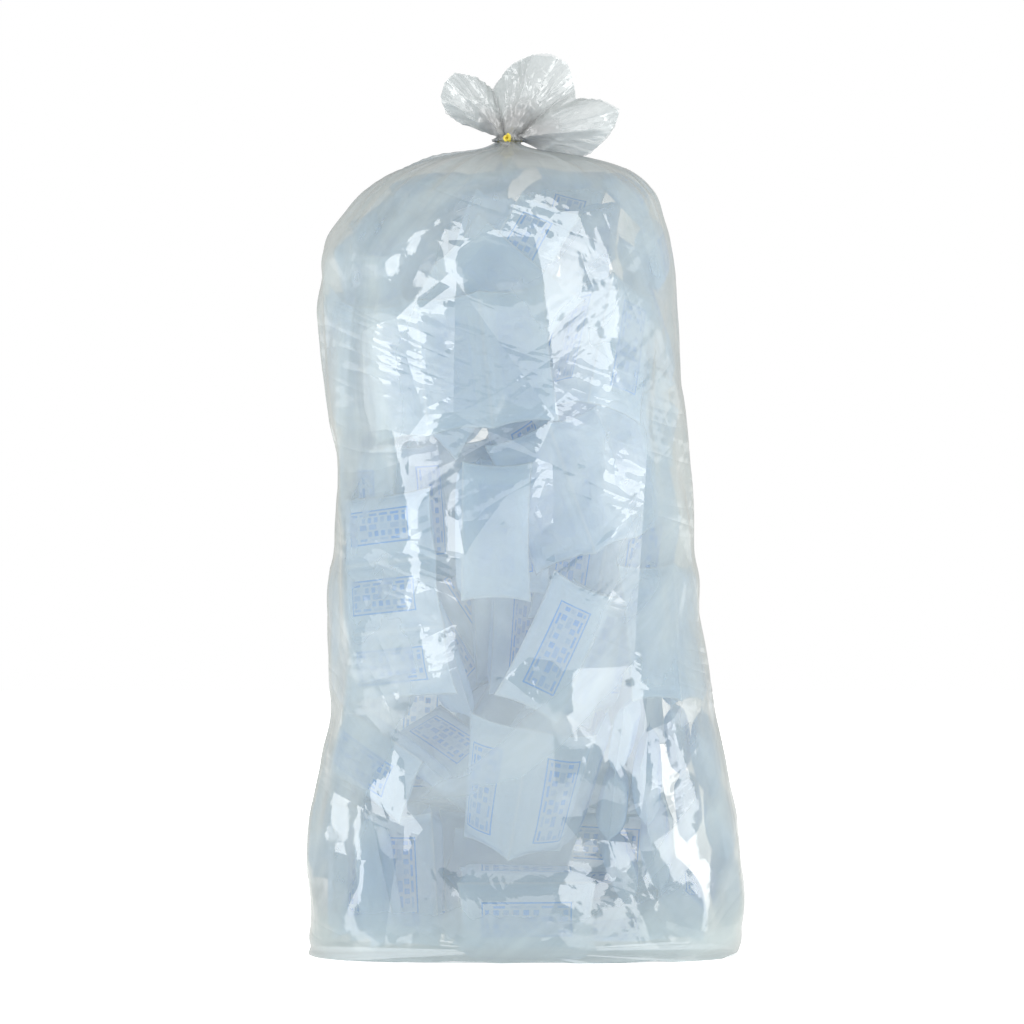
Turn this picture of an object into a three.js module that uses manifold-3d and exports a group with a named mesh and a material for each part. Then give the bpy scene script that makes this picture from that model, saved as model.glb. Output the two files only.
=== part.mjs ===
// A clear film bag of air pillows, tied at the neck. Millimetres, +Z up, front towards -Y.
// The bag stands on its flat bottom. Inside it lie strips of air pillows, three to a strip,
// pressed flat where they meet each other and the film.
import * as THREE from 'three';
import * as BufferGeometryUtils from 'three/addons/utils/BufferGeometryUtils.js';
import Module from 'manifold-3d';

const wasm = await Module();
wasm.setup();

// ---- Driving dimensions ----

// The filled bag, from the floor up to the neck: height, half width, sideways lean, half depth,
// and roundness, which is 2 for an ellipse and more for a squarer section.
const BODY = [
  { z: 0, width: 258, lean: 0, depth: 168, round: 2.9 },
  { z: 12, width: 281, lean: 0, depth: 187, round: 2.9 },
  { z: 45, width: 293, lean: 0, depth: 198, round: 2.8 },
  { z: 110, width: 296, lean: 0, depth: 202, round: 2.7 },
  { z: 180, width: 291, lean: 0, depth: 210, round: 2.6 },
  { z: 260, width: 272, lean: -1, depth: 224, round: 2.5 },
  { z: 350, width: 259, lean: -6, depth: 240, round: 2.4 },
  { z: 450, width: 254, lean: -14, depth: 252, round: 2.3 },
  { z: 580, width: 249, lean: -15, depth: 261, round: 2.2 },
  { z: 720, width: 245, lean: -19, depth: 264, round: 2.2 },
  { z: 830, width: 244, lean: -29, depth: 262, round: 2.15 },
  { z: 910, width: 243, lean: -36, depth: 256, round: 2.1 },
  { z: 960, width: 235, lean: -36, depth: 244, round: 2.1 },
  { z: 1005, width: 217, lean: -27, depth: 222, round: 2.05 },
  { z: 1042, width: 189, lean: -19, depth: 192, round: 2 },
  { z: 1068, width: 150, lean: -14, depth: 148, round: 2 },
  { z: 1084, width: 100, lean: -15, depth: 96, round: 2 },
  { z: 1093, width: 48, lean: -18, depth: 44, round: 2 },
];
const NECK = { x: -19, bottom: 1099, top: 1107, radius: 15, lip: 1113, lipRadius: 18 };

// The ruffle above the tie: the reach of its edge from the lip, by the angle up from +X in degrees.
// It has a drooping lobe to the right, a round one in the middle and a raised one to the left.
const RUFFLE = [
  { angle: 0, reach: 92 },
  { angle: 7, reach: 150 },
  { angle: 21, reach: 131 },
  { angle: 31, reach: 99 },
  { angle: 43, reach: 117 },
  { angle: 56, reach: 121 },
  { angle: 76, reach: 111 },
  { angle: 90, reach: 91 },
  { angle: 112, reach: 66 },
  { angle: 127, reach: 106 },
  { angle: 143, reach: 111 },
  { angle: 158, reach: 97 },
  { angle: 172, reach: 58 },
];
const RUFFLE_DEPTH = 62; // how far the ruffle's front and back stand apart at its edge, each way

const FILM = 1.2; // wall of the film's solid
const RING_POINTS = 36; // points round each ring of the film

const STRIPS = 58;
const PILLOWS = 3; // pillows in a strip
const PITCH = 93; // from seam to seam along a strip
const LENGTH = 186; // of a pillow, along its seams
const BULGE = 21; // half of a free pillow's thickness
const OPEN_FOLD = 1.1; // least distance across the fold of two pillows, in pitches
const SEAM = 0.4; // half of a heat-sealed seam's thickness
const GAP = 0.3; // between neighbours that press on each other
const FILM_CLEARANCE = 6; // from the pillows to the film's outer face
const LAYERS = [0.86, 0.86, 0.6, 0.86, 0.6, 0.3]; // where strips start, from the axis to the film
const STRIP_HEIGHTS = [70, 985]; // of the lowest and the highest strip's middle, at the start
const GOLDEN_STEP = 0.618034;
const GOLDEN_ANGLE = 2.39996;
const LEAST_ROOM = 5; // between two pillows' middle planes
const SMALL = 0.45; // size of a strip when it starts to settle, as a share of its full size
const FLOOR_ROOM = 11; // from the floor to the seams of the lowest pillows
const BODY_TOP = BODY[BODY.length - 1].z;

const TIE = { wire: 1.4, twistRadius: 1.5, tail: 24, turns: 3 };

const COLOURS = {
  film: { color: 0xdfe8ec, roughness: 0.08, opacity: 0.35 },
  pillow: { color: 0xb4cddd, roughness: 0.2, opacity: 0.6 },
  tie: { color: 0xd0b030, roughness: 0.45, opacity: 1 },
};

// ---- Small helpers ----

// A seeded random number generator, so that the pillows always settle the same way.
let seed = 4;
function random() {
  seed = (seed * 1664525 + 1013904223) % 4294967296;
  return seed / 4294967296;
}

function between(low, high) {
  return low + (high - low) * random();
}

// The value of a smooth curve through evenly or unevenly spaced rows, at key = at.
function smooth(rows, key, value, at) {
  let i = 0;
  while (i < rows.length - 2 && rows[i + 1][key] < at) {
    i += 1;
  }
  const [before, from, to, after] = [i - 1, i, i + 1, i + 2].map(
    (k) => rows[Math.min(Math.max(k, 0), rows.length - 1)],
  );
  const span = to[key] - from[key];
  const t = THREE.MathUtils.clamp((at - from[key]) / span, 0, 1);
  const slope = (a, b) => (b[key] === a[key] ? 0 : ((b[value] - a[value]) / (b[key] - a[key])) * span);
  const [m0, m1] = [slope(before, to), slope(from, after)];
  const [t2, t3] = [t * t, t * t * t];
  return (2 * t3 - 3 * t2 + 1) * from[value] + (t3 - 2 * t2 + t) * m0
    + (3 * t2 - 2 * t3) * to[value] + (t3 - t2) * m1;
}

function bodyAt(z) {
  return {
    width: smooth(BODY, 'z', 'width', z),
    lean: smooth(BODY, 'z', 'lean', z),
    depth: smooth(BODY, 'z', 'depth', z),
    round: smooth(BODY, 'z', 'round', z),
  };
}

function mesh(name, geometry, look) {
  const { color, roughness, opacity } = COLOURS[look];
  const material = new THREE.MeshStandardMaterial({
    color, roughness, opacity, metalness: 0, transparent: opacity < 1,
  });
  const made = new THREE.Mesh(geometry, material);
  made.name = name;
  return made;
}

function indexed(points, faces) {
  const geometry = new THREE.BufferGeometry();
  geometry.setAttribute('position', new THREE.Float32BufferAttribute(points.flatMap((p) => p.toArray()), 3));
  geometry.setIndex(faces.flat());
  geometry.computeVertexNormals();
  return geometry;
}

// ---- The film bag ----

// One closed ring of the body's film, round a superellipse.
function bodyRing({ z, width, lean, depth, round }) {
  const ring = [];
  for (let i = 0; i < RING_POINTS; i += 1) {
    const angle = (2 * Math.PI * i) / RING_POINTS;
    const [c, s] = [Math.cos(angle), Math.sin(angle)];
    const x = lean + width * Math.sign(c) * Math.abs(c) ** (2 / round);
    const y = depth * Math.sign(s) * Math.abs(s) ** (2 / round);
    ring.push(new THREE.Vector3(x, y, z));
  }
  return ring;
}

function neckRing(z, radius) {
  return bodyRing({ z, width: radius, lean: NECK.x, depth: radius, round: 2 });
}

// One closed ring of the ruffle, a share of the way from the lip to its edge. The back half of the
// ring sweeps the fan from right to left, and the front half sweeps it back.
function ruffleRing(share) {
  const [first, last] = [RUFFLE[0].angle, RUFFLE[RUFFLE.length - 1].angle];
  return neckRing(NECK.lip, NECK.lipRadius).map((start, i) => {
    const turn = (2 * Math.PI * i) / RING_POINTS;
    const even = 1 - Math.abs(1 - turn / Math.PI);
    const angle = THREE.MathUtils.lerp(first, last, (even + (1 - Math.cos(turn)) / 2) / 2);
    const tilt = THREE.MathUtils.degToRad(angle);
    const reach = THREE.MathUtils.lerp(NECK.lipRadius, smooth(RUFFLE, 'angle', 'reach', angle), share);
    const point = new THREE.Vector3(
      NECK.x + reach * Math.cos(tilt),
      THREE.MathUtils.lerp(NECK.lipRadius, RUFFLE_DEPTH, share) * Math.sin(turn),
      NECK.lip + reach * Math.sin(tilt),
    );
    return start.lerp(point, Math.min(1, 0.2 + share));
  });
}

// The inner face of a ruffle ring lies above the outer one, and its front and back come closer.
function ruffleInside(ring) {
  return ring.map((point, column) => {
    const across = ring.at(column - 1).clone().lerp(ring[(column + 1) % RING_POINTS], 0.5);
    const side = column % (RING_POINTS / 2) === 0;
    const inside = side ? point.clone().lerp(across, 0.5) : point.clone();
    return inside.set(inside.x, inside.y - (side ? 0 : FILM * Math.sign(point.y)), inside.z + FILM);
  });
}

// The inner face of rings stacked on a foot point, one wall in from the outer face.
function wallInside(rings, foot) {
  return rings.map((ring, row) => ring.map((point, column) => {
    const [left, right] = [ring.at(column - 1), ring[(column + 1) % RING_POINTS]];
    const above = rings[Math.min(row + 1, rings.length - 1)][column];
    const below = row === 0 ? foot : rings[row - 1][column];
    const out = right.clone().sub(left).cross(above.clone().sub(below)).normalize();
    const inside = point.clone().addScaledVector(out, -FILM);
    return row === 0 ? inside.setZ(FILM) : inside;
  }));
}

// The film is a thin shell: its outer face, and an inner face one wall further in, joined at the
// ruffle's open edge.
function filmGeometry() {
  const foot = new THREE.Vector3(0, 0, 0);
  const stacked = BODY.map(bodyRing);
  stacked.push(neckRing(NECK.bottom, NECK.radius), neckRing(NECK.top, NECK.radius));
  stacked.push(neckRing(NECK.lip, NECK.lipRadius));
  const ruffle = [0.25, 0.65, 1].map(ruffleRing);
  const outer = [...stacked, ...ruffle];
  const inner = [...wallInside(stacked, foot), ...ruffle.map(ruffleInside)];

  const points = [...outer.flat(), foot, ...inner.flat(), new THREE.Vector3(0, 0, FILM)];
  const footIndex = outer.length * RING_POINTS;
  const innerStart = footIndex + 1;
  const at = (row, column) => row * RING_POINTS + (column % RING_POINTS);
  const faces = [];
  const quad = (a, b, c, d) => faces.push([a, b, c], [a, c, d]);
  const top = outer.length - 1;
  for (let column = 0; column < RING_POINTS; column += 1) {
    const next = column + 1;
    faces.push([footIndex, at(0, next), at(0, column)]);
    faces.push([points.length - 1, innerStart + at(0, column), innerStart + at(0, next)]);
    for (let row = 0; row < top; row += 1) {
      const [a, b, c, d] = [at(row, column), at(row, next), at(row + 1, next), at(row + 1, column)];
      quad(a, b, c, d);
      quad(innerStart + b, innerStart + a, innerStart + d, innerStart + c);
    }
    quad(at(top, column), at(top, next), innerStart + at(top, next), innerStart + at(top, column));
  }
  return indexed(points, faces);
}

// ---- Settling the strips of pillows ----

// How far a point lies outside the bag's film, negative inside, and the way out.
function outside(point) {
  const shell = (x, y, z) => {
    const { width, lean, depth, round } = bodyAt(THREE.MathUtils.clamp(z, 0, BODY_TOP));
    const sum = (Math.abs(x - lean) / width) ** round + (Math.abs(y) / depth) ** round;
    return sum ** (1 / round) - 1;
  };
  const { x, y, z } = point;
  const step = 1;
  const value = shell(x, y, z);
  const way = new THREE.Vector3(
    shell(x + step, y, z) - shell(x - step, y, z),
    shell(x, y + step, z) - shell(x, y - step, z),
    shell(x, y, z + step) - shell(x, y, z - step),
  ).multiplyScalar(0.5 / step);
  const steepness = Math.max(way.length(), 1e-6);
  return { distance: value / steepness, way: way.divideScalar(steepness) };
}

// A strip is a band of pillows with two points on each seam line, one at each end of the seam.
// It starts on one of the bag's inner layers, turned at random within the layer. Golden steps
// round the bag and up it spread the strips evenly.
function newStrip(index) {
  const layer = LAYERS[index % LAYERS.length];
  const height = THREE.MathUtils.lerp(...STRIP_HEIGHTS, (index * GOLDEN_STEP + 0.35) % 1);
  const around = index * GOLDEN_ANGLE + between(-0.3, 0.3);
  const turn = between(0, Math.PI);
  const tilt = between(-0.3, 0.3);
  const { width, lean, depth } = bodyAt(height);
  const points = [];
  for (let seam = 0; seam <= PILLOWS; seam += 1) {
    for (const end of [-0.5, 0.5]) {
      const [p, q] = [(seam - PILLOWS / 2) * PITCH * SMALL, end * LENGTH * SMALL];
      const along = p * Math.cos(turn) - q * Math.sin(turn);
      const up = p * Math.sin(turn) + q * Math.cos(turn);
      const angle = around + along / (layer * 0.5 * (width + depth));
      const reach = layer + (tilt * up) / 250;
      points.push(new THREE.Vector3(
        lean + width * reach * Math.cos(angle),
        depth * reach * Math.sin(angle),
        THREE.MathUtils.clamp(height + up, 2 * FLOOR_ROOM, BODY_TOP - 50),
      ));
    }
  }
  return { index, points };
}

// The four corners of one pillow in a strip, its centre and its normal.
function plate(strip, number) {
  const [a, b, d, c] = strip.points.slice(2 * number, 2 * number + 4);
  const centre = a.clone().add(b).add(c).add(d).multiplyScalar(0.25);
  const across = c.clone().add(d).sub(a).sub(b);
  const along = b.clone().add(c).sub(a).sub(d);
  return {
    strip, number, corners: [a, b, c, d], centre,
    across: across.clone().normalize(),
    along: along.clone().normalize(),
    normal: across.cross(along).normalize(),
  };
}

function platesOf(strips) {
  return strips.flatMap((strip) => Array.from({ length: PILLOWS }, (_, number) => plate(strip, number)));
}

// The direction from one flat plate to another along which they lie furthest apart.
function separation(one, other) {
  const axes = [one.normal, other.normal, one.across, one.along, other.across, other.along];
  for (const edge of [one.across, one.along]) {
    for (const otherEdge of [other.across, other.along]) {
      axes.push(edge.clone().cross(otherEdge));
    }
  }
  let best = { gap: -Infinity };
  for (const axis of axes) {
    const length = axis.length();
    if (length > 0.05) {
      const way = axis.clone().divideScalar(length);
      if (way.dot(other.centre) < way.dot(one.centre)) {
        way.negate();
      }
      const near = Math.max(...one.corners.map((corner) => way.dot(corner)));
      const far = Math.min(...other.corners.map((corner) => way.dot(corner)));
      if (far - near > best.gap) {
        best = { gap: far - near, way, near, far };
      }
    }
  }
  return best;
}

// Every pair of plates near enough to touch, apart from neighbours that share a seam.
function nearPairs(plates) {
  const reach = Math.hypot(PITCH, LENGTH) + 2 * BULGE;
  const pairs = [];
  plates.forEach((one, i) => {
    for (const other of plates.slice(i + 1)) {
      const share = one.strip === other.strip && Math.abs(one.number - other.number) < 2;
      if (!share && one.centre.distanceTo(other.centre) < reach) {
        pairs.push([one, other]);
      }
    }
  });
  return pairs;
}

// Moves a plate's corners, the most where they reach furthest towards the other plate.
function push(corners, way, reach, amount) {
  const weights = corners.map((corner) => Math.exp(-Math.abs(reach - way.dot(corner)) / 40));
  const total = Math.max(...weights);
  corners.forEach((corner, k) => corner.addScaledVector(way, (amount * weights[k]) / total));
}

// Moves two points evenly until they are a length apart.
function spring(a, b, length) {
  const apart = b.clone().sub(a);
  apart.multiplyScalar((0.5 * (apart.length() - length)) / Math.max(apart.length(), 1e-6));
  a.add(apart);
  b.sub(apart);
}

// Keeps a strip's pillows flat rectangles of a share of their full size, and its folds open.
function holdShape({ points }, size) {
  const [pitch, length] = [PITCH * size, LENGTH * size];
  const diagonal = Math.hypot(pitch, length);
  for (let pass = 0; pass < 4; pass += 1) {
    for (let k = 0; k < points.length; k += 2) {
      spring(points[k], points[k + 1], length);
      if (k + 3 < points.length) {
        spring(points[k], points[k + 2], pitch);
        spring(points[k + 1], points[k + 3], pitch);
        spring(points[k], points[k + 3], diagonal);
        spring(points[k + 1], points[k + 2], diagonal);
      }
    }
    for (let k = 0; k + 4 < points.length; k += 1) {
      if (points[k].distanceTo(points[k + 4]) < OPEN_FOLD * pitch) {
        spring(points[k], points[k + 4], OPEN_FOLD * pitch);
      }
    }
  }
}

function keepInside({ points }) {
  for (const point of points) {
    const { distance, way } = outside(point);
    const excess = distance + FILM_CLEARANCE + 2;
    if (excess > 0) {
      point.addScaledVector(way, -excess);
    }
    point.z = THREE.MathUtils.clamp(point.z, FLOOR_ROOM, BODY_TOP - 30);
  }
}

// Lets the strips grow from a small size to their full one, and push each other apart meanwhile,
// until every pillow has room for most of its bulge.
function settle(strips, rounds) {
  for (let round = 0; round < rounds; round += 1) {
    const size = Math.min(1, SMALL + (1 - SMALL) * (round / (0.6 * rounds)));
    for (const [one, other] of nearPairs(platesOf(strips))) {
      const { gap, way, near, far } = separation(one, other);
      const facing = Math.abs(way.dot(one.normal)) + Math.abs(way.dot(other.normal));
      const room = size * (4 + 0.85 * BULGE * facing);
      if (gap < room) {
        const amount = Math.min(0.2 * (room - gap) + 0.5 * Math.max(LEAST_ROOM - gap, 0), 8);
        push(one.corners, way, near, -amount);
        push(other.corners, way, far, amount);
      }
    }
    for (const strip of strips) {
      holdShape(strip, size);
      keepInside(strip);
    }
  }
}

// ---- The pillows' solids ----

// Rows across a pillow and along it, from seam to seam, with how full the pillow is there.
const ACROSS = [
  { at: 0, full: 0 },
  { at: 0.27, full: 0.9 },
  { at: 0.73, full: 0.9 },
];
const ALONG = [
  { at: 0, full: 0 },
  { at: 0.14, full: 0.8 },
  { at: 0.5, full: 1.1 },
  { at: 0.86, full: 0.8 },
  { at: 1, full: 0 },
];

// The planes that keep each pillow to its own side of every neighbour.
function bounds(plates, pairs) {
  const planes = new Map(plates.map((one) => [one, []]));
  for (const [one, other] of pairs) {
    const { gap, way, near, far } = separation(one, other);
    if (gap < GAP + 2 * SEAM) {
      throw new Error(`strips ${one.strip.index} and ${other.strip.index} have no room between them: ${gap}`);
    }
    const middle = (near + far) / 2;
    planes.get(one).push(new THREE.Plane(way.clone().negate(), middle - GAP / 2));
    planes.get(other).push(new THREE.Plane(way.clone(), -middle - GAP / 2));
  }
  plates.forEach((one, i) => {
    const other = plates[i + 1];
    if (other && other.strip === one.strip) {
      const seam = one.corners[2].clone().add(one.corners[3]).multiplyScalar(0.5);
      const way = one.across.clone().add(other.across).normalize();
      planes.get(one).push(new THREE.Plane().setFromNormalAndCoplanarPoint(way.clone().negate(), seam));
      planes.get(other).push(new THREE.Plane().setFromNormalAndCoplanarPoint(way, seam));
    }
  });
  return planes;
}

// How far a pillow's film can stand off its middle plane at a point before it meets a neighbour or the bag.
function roomFor(point, way, full, planes) {
  let height = Math.max(full * BULGE, SEAM);
  for (const plane of planes) {
    const closing = -plane.normal.dot(way);
    if (closing > 1e-6) {
      height = Math.min(height, Math.max(plane.distanceToPoint(point) / closing, 0));
    }
  }
  const inside = (h) => {
    const tip = point.clone().addScaledVector(way, h);
    return outside(tip).distance < -FILM_CLEARANCE && tip.z > FILM_CLEARANCE;
  };
  while (height > SEAM && !inside(height)) {
    height -= 0.5;
  }
  return Math.max(height, SEAM);
}

// A strip is one closed solid: a top and a bottom film that meet at its edge and nearly meet at
// each seam between two pillows.
function stripGeometry(plates, planes) {
  const columns = [];
  plates.forEach((one, number) => {
    for (const { at, full } of ACROSS) {
      columns.push({ one, at, full, before: at === 0 && number > 0 ? plates[number - 1] : null });
    }
  });
  const last = plates[plates.length - 1];
  columns.push({ one: last, at: 1, full: 0, before: null });

  const [points, top, bottom] = [[], [], []];
  columns.forEach(({ one, at, full, before }, i) => {
    const [a, b, c, d] = one.corners;
    const normal = before ? one.normal.clone().add(before.normal).normalize() : one.normal;
    const edgeColumn = i === 0 || i === columns.length - 1;
    [top[i], bottom[i]] = [[], []];
    ALONG.forEach((row, j) => {
      const base = a.clone().lerp(d, at).lerp(b.clone().lerp(c, at), row.at);
      if (edgeColumn || j === 0 || j === ALONG.length - 1) {
        points.push(base);
        [top[i][j], bottom[i][j]] = [points.length - 1, points.length - 1];
        return;
      }
      for (const [side, list] of [[1, top], [-1, bottom]]) {
        const way = normal.clone().multiplyScalar(side);
        const height = full === 0 ? SEAM : roomFor(base, way, full * row.full, planes.get(one));
        points.push(base.clone().addScaledVector(way, height));
        list[i][j] = points.length - 1;
      }
    });
  });

  // Each cell's diagonal starts from the strip's nearest corner, so that no corner is cut off.
  const faces = [];
  const cells = [columns.length - 1, ALONG.length - 1];
  const quad = (p, q, r, s) => faces.push([p, q, r], [p, r, s]);
  for (let i = 0; i < cells[0]; i += 1) {
    for (let j = 0; j < cells[1]; j += 1) {
      const corners = [[i, j], [i + 1, j], [i + 1, j + 1], [i, j + 1]];
      if ((i < cells[0] / 2) !== (j < cells[1] / 2)) {
        corners.push(corners.shift());
      }
      const [p, q, r, s] = corners;
      quad(...[p, q, r, s].map(([u, v]) => top[u][v]));
      quad(...[p, s, r, q].map(([u, v]) => bottom[u][v]));
    }
  }
  return indexed(points, faces);
}

// ---- The tie ----

function solid(geometry) {
  geometry.deleteAttribute('normal');
  geometry.deleteAttribute('uv');
  const merged = BufferGeometryUtils.mergeVertices(geometry, 1e-4);
  return new wasm.Manifold(new wasm.Mesh({
    numProp: 3,
    vertProperties: new Float32Array(merged.attributes.position.array),
    triVerts: new Uint32Array(merged.index.array),
  }));
}

function geometryOf(manifold) {
  const { vertProperties, triVerts } = manifold.getMesh();
  const geometry = new THREE.BufferGeometry();
  geometry.setAttribute('position', new THREE.BufferAttribute(vertProperties, 3));
  geometry.setIndex(new THREE.BufferAttribute(triVerts, 1));
  geometry.computeVertexNormals();
  return geometry;
}

// The tie is a coated wire: one turn round the neck, its two ends twisted together in front.
function tieGeometry() {
  const { wire, twistRadius, tail, turns } = TIE;
  const section = new THREE.Shape().absarc(0, 0, wire, 0, 2 * Math.PI);
  const ringRadius = NECK.radius + wire + GAP;
  const height = (NECK.bottom + NECK.top) / 2;
  const ring = new THREE.TorusGeometry(ringRadius, wire, 8, 32).translate(NECK.x, 0, height);
  let tie = solid(ring);
  for (const half of [0, Math.PI]) {
    const route = [];
    for (let k = 0; k <= 20; k += 1) {
      const share = k / 20;
      const turn = half + share * turns * 2 * Math.PI;
      route.push(new THREE.Vector3(
        NECK.x + twistRadius * Math.cos(turn) - 4 * share,
        -ringRadius - 0.75 * tail * share,
        height + twistRadius * Math.sin(turn) + 0.1 * tail * share,
      ));
    }
    const wireEnd = new THREE.ExtrudeGeometry(section, {
      curveSegments: 3,
      steps: 36,
      bevelEnabled: false,
      extrudePath: new THREE.CatmullRomCurve3(route),
    });
    tie = tie.add(solid(wireEnd));
  }
  return geometryOf(tie);
}

// ---- The whole object ----

const bag = new THREE.Group();
bag.add(mesh('bag', filmGeometry(), 'film'));
bag.add(mesh('tie', tieGeometry(), 'tie'));

const strips = Array.from({ length: STRIPS }, (_, index) => newStrip(index));
settle(strips, 420);
const plates = platesOf(strips);
const planes = bounds(plates, nearPairs(plates));
for (const { index } of strips) {
  const own = plates.slice(index * PILLOWS, (index + 1) * PILLOWS);
  const name = `pillow_strip_${String(index + 1).padStart(2, '0')}`;
  bag.add(mesh(name, stripGeometry(own, planes), 'pillow'));
}

export default bag;
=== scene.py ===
# %% [markdown]
# # A clear film bag of air pillows
#
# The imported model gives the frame: a smooth bag, its tie, and 58 strips of three air pillows that
# already lie settled inside. This script keeps every size and place of that frame and makes the
# looks: it inflates the pillows, drapes the film, opens the ruffle, twists the tie, mixes the
# materials, and sets the stage, the lights and the camera.

import bpy
import mathutils
import numpy as np
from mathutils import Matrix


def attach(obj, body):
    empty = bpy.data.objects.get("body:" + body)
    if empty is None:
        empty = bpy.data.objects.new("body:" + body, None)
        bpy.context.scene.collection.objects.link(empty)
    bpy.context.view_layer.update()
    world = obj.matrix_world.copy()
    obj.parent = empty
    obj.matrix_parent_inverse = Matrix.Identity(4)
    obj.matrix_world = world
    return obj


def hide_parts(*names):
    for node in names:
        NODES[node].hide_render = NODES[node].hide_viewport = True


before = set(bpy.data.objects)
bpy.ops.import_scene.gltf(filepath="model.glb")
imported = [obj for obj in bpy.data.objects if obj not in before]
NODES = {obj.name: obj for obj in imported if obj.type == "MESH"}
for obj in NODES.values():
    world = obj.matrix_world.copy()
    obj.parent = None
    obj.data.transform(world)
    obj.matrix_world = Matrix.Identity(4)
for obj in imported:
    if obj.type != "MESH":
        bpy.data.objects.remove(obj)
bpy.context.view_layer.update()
STRIP_NAMES = sorted(name for name in NODES if name.startswith("pillow_strip"))
MM = 0.001
SEED = 20
rng = np.random.default_rng(SEED)

# %% [markdown]
# ## The bag's smooth shape
#
# The CAD bag is a stack of rounded ovals, which are read back from its points: each height where a
# whole ring lies gives a half width, a sideways lean, a half depth and a roundness. A ring's point
# at angle $t$ is $x = l + w\,|\cos t|^{2/n}$, $y = d\,|\sin t|^{2/n}$, with the signs of the cosine
# and the sine. The wall's inner rings lie just above the outer ones and are left out.

# %% Read the rings of the bag
RING_POINTS = 36
SAME_LEVEL = 6e-5
WALL = 2.5 * MM


def distinct_points(name):
    """The node's points without repeats, and the number of each point's original."""
    mesh = NODES[name].data
    points = np.empty(3 * len(mesh.vertices), np.float32)
    mesh.vertices.foreach_get("co", points)
    return np.unique(points.reshape(-1, 3).round(5), axis=0, return_inverse=True)


def read_rings(points):
    """Rows of height, half width, lean, half depth and roundness, from the foot up to the neck."""
    heights, counts = np.unique(points[:, 2].round(4), return_counts=True)
    rows = []
    for z in heights[counts >= RING_POINTS]:
        ring = points[np.abs(points[:, 2] - z) < SAME_LEVEL]
        left, right = ring[:, 0].min(), ring[:, 0].max()
        width, lean, depth = (right - left) / 2, (right + left) / 2, ring[:, 1].max()
        across, along = np.abs(ring[:, 0] - lean) / width, np.abs(ring[:, 1]) / depth
        sloped = np.argmax(np.minimum(across, along))
        diagonal = (across[sloped] + along[sloped]) / 2
        rows.append((z, width, lean, depth, np.log(2) / -np.log(diagonal)))
    return np.array(rows)


bag_points, _ = distinct_points("bag")
rings = read_rings(bag_points)
rings = rings[np.r_[True, np.diff(rings[:, 0]) > WALL]]
NECK_RADIUS = rings[:, 1].min()
neck_rows = np.flatnonzero(rings[:, 1] < 1.3 * NECK_RADIUS)
LIP = rings[neck_rows[-1]]
body_rings = rings[: neck_rows[0] + 1]
NECK_Z = body_rings[-1, 0]
print(f"{len(body_rings)} rings up to the neck at {NECK_Z:.3f} m, radius {NECK_RADIUS:.4f} m")

# %% [markdown]
# Between the rings, every value follows a smooth curve. The film's base surface is a grid, whose
# rows climb from the floor to the neck and whose columns go round. Both are evenly spaced along the
# film, so every cell is close to a square of the same size.


# %% Run curves through the rings
def curve_through(rows, at):
    """Every column of rows along a smooth curve (a Catmull-Rom spline) over its first column."""
    key = rows[:, 0]
    slopes = np.gradient(rows[:, 1:], key, axis=0)
    i = np.clip(np.searchsorted(key, at) - 1, 0, len(key) - 2)
    span = (key[i + 1] - key[i])[:, None]
    t = np.clip((at - key[i])[:, None] / span, 0, 1)
    start, end = rows[i, 1:], rows[i + 1, 1:]
    ease = t * t * (3 - 2 * t)
    bend = t * (1 - t)
    return start + (end - start) * ease + span * bend * ((1 - t) * slopes[i] - t * slopes[i + 1])


# %% Shape the body's base grid
COLUMNS = 312
BODY_ROWS = 250


def even_ring(width, lean, depth, roundness, count):
    """Points and angles evenly spaced round the oval x = l + w|cos t|^(2/n), y = d|sin t|^(2/n)."""
    t = np.linspace(0, 2 * np.pi, 1441)
    c, s = np.cos(t), np.sin(t)
    x = lean + width * np.sign(c) * np.abs(c) ** (2 / roundness)
    y = depth * np.sign(s) * np.abs(s) ** (2 / roundness)
    length = np.r_[0, np.cumsum(np.hypot(np.diff(x), np.diff(y)))]
    angles = np.interp(np.linspace(0, length[-1], count, endpoint=False), length, t)
    return np.stack([np.interp(angles, t, x), np.interp(angles, t, y)], -1), angles


fine_heights = np.linspace(0, NECK_Z, 4000)
fine_width, _, fine_depth, _ = curve_through(body_rings, fine_heights).T
climb = np.r_[0, np.cumsum(np.hypot(np.diff(fine_heights), np.diff((fine_width + fine_depth) / 2)))]
ROW_STEP = climb[-1] / (BODY_ROWS - 1)
row_heights = np.interp(np.arange(BODY_ROWS) * ROW_STEP, climb, fine_heights)
row_shapes = curve_through(body_rings, row_heights)
rows = [even_ring(*shape, COLUMNS) for shape in row_shapes]
row_angles = np.array([angles for _, angles in rows])
level = np.broadcast_to(row_heights[:, None, None], (BODY_ROWS, COLUMNS, 1))
body_base = np.concatenate([np.array([ring for ring, _ in rows]), level], axis=2)
girths = np.linalg.norm(np.roll(body_base, -1, axis=1) - body_base, axis=-1).sum(1)
print(f"{BODY_ROWS} rows {ROW_STEP / MM:.1f} mm apart, girth up to {girths.max():.2f} m")

# %% [markdown]
# ## The pillow strips
#
# Each CAD strip is a closed solid whose top and bottom film meet in a sharp rim. The rim is the loop
# of edges where the two faces turn back on each other. Its two long runs carry the ends of the
# seams, so following it gives the four corners of each of the strip's three pillows.


# %% Find each strip's seams
RIM_POINTS = 26


def unit(vectors):
    """Every vector divided by its length."""
    return vectors / np.maximum(np.linalg.norm(vectors, axis=-1, keepdims=True), 1e-9)


def dot(a, b):
    """The products of two vectors' components, added up."""
    return np.einsum("...i,...i->...", a, b)


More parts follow.
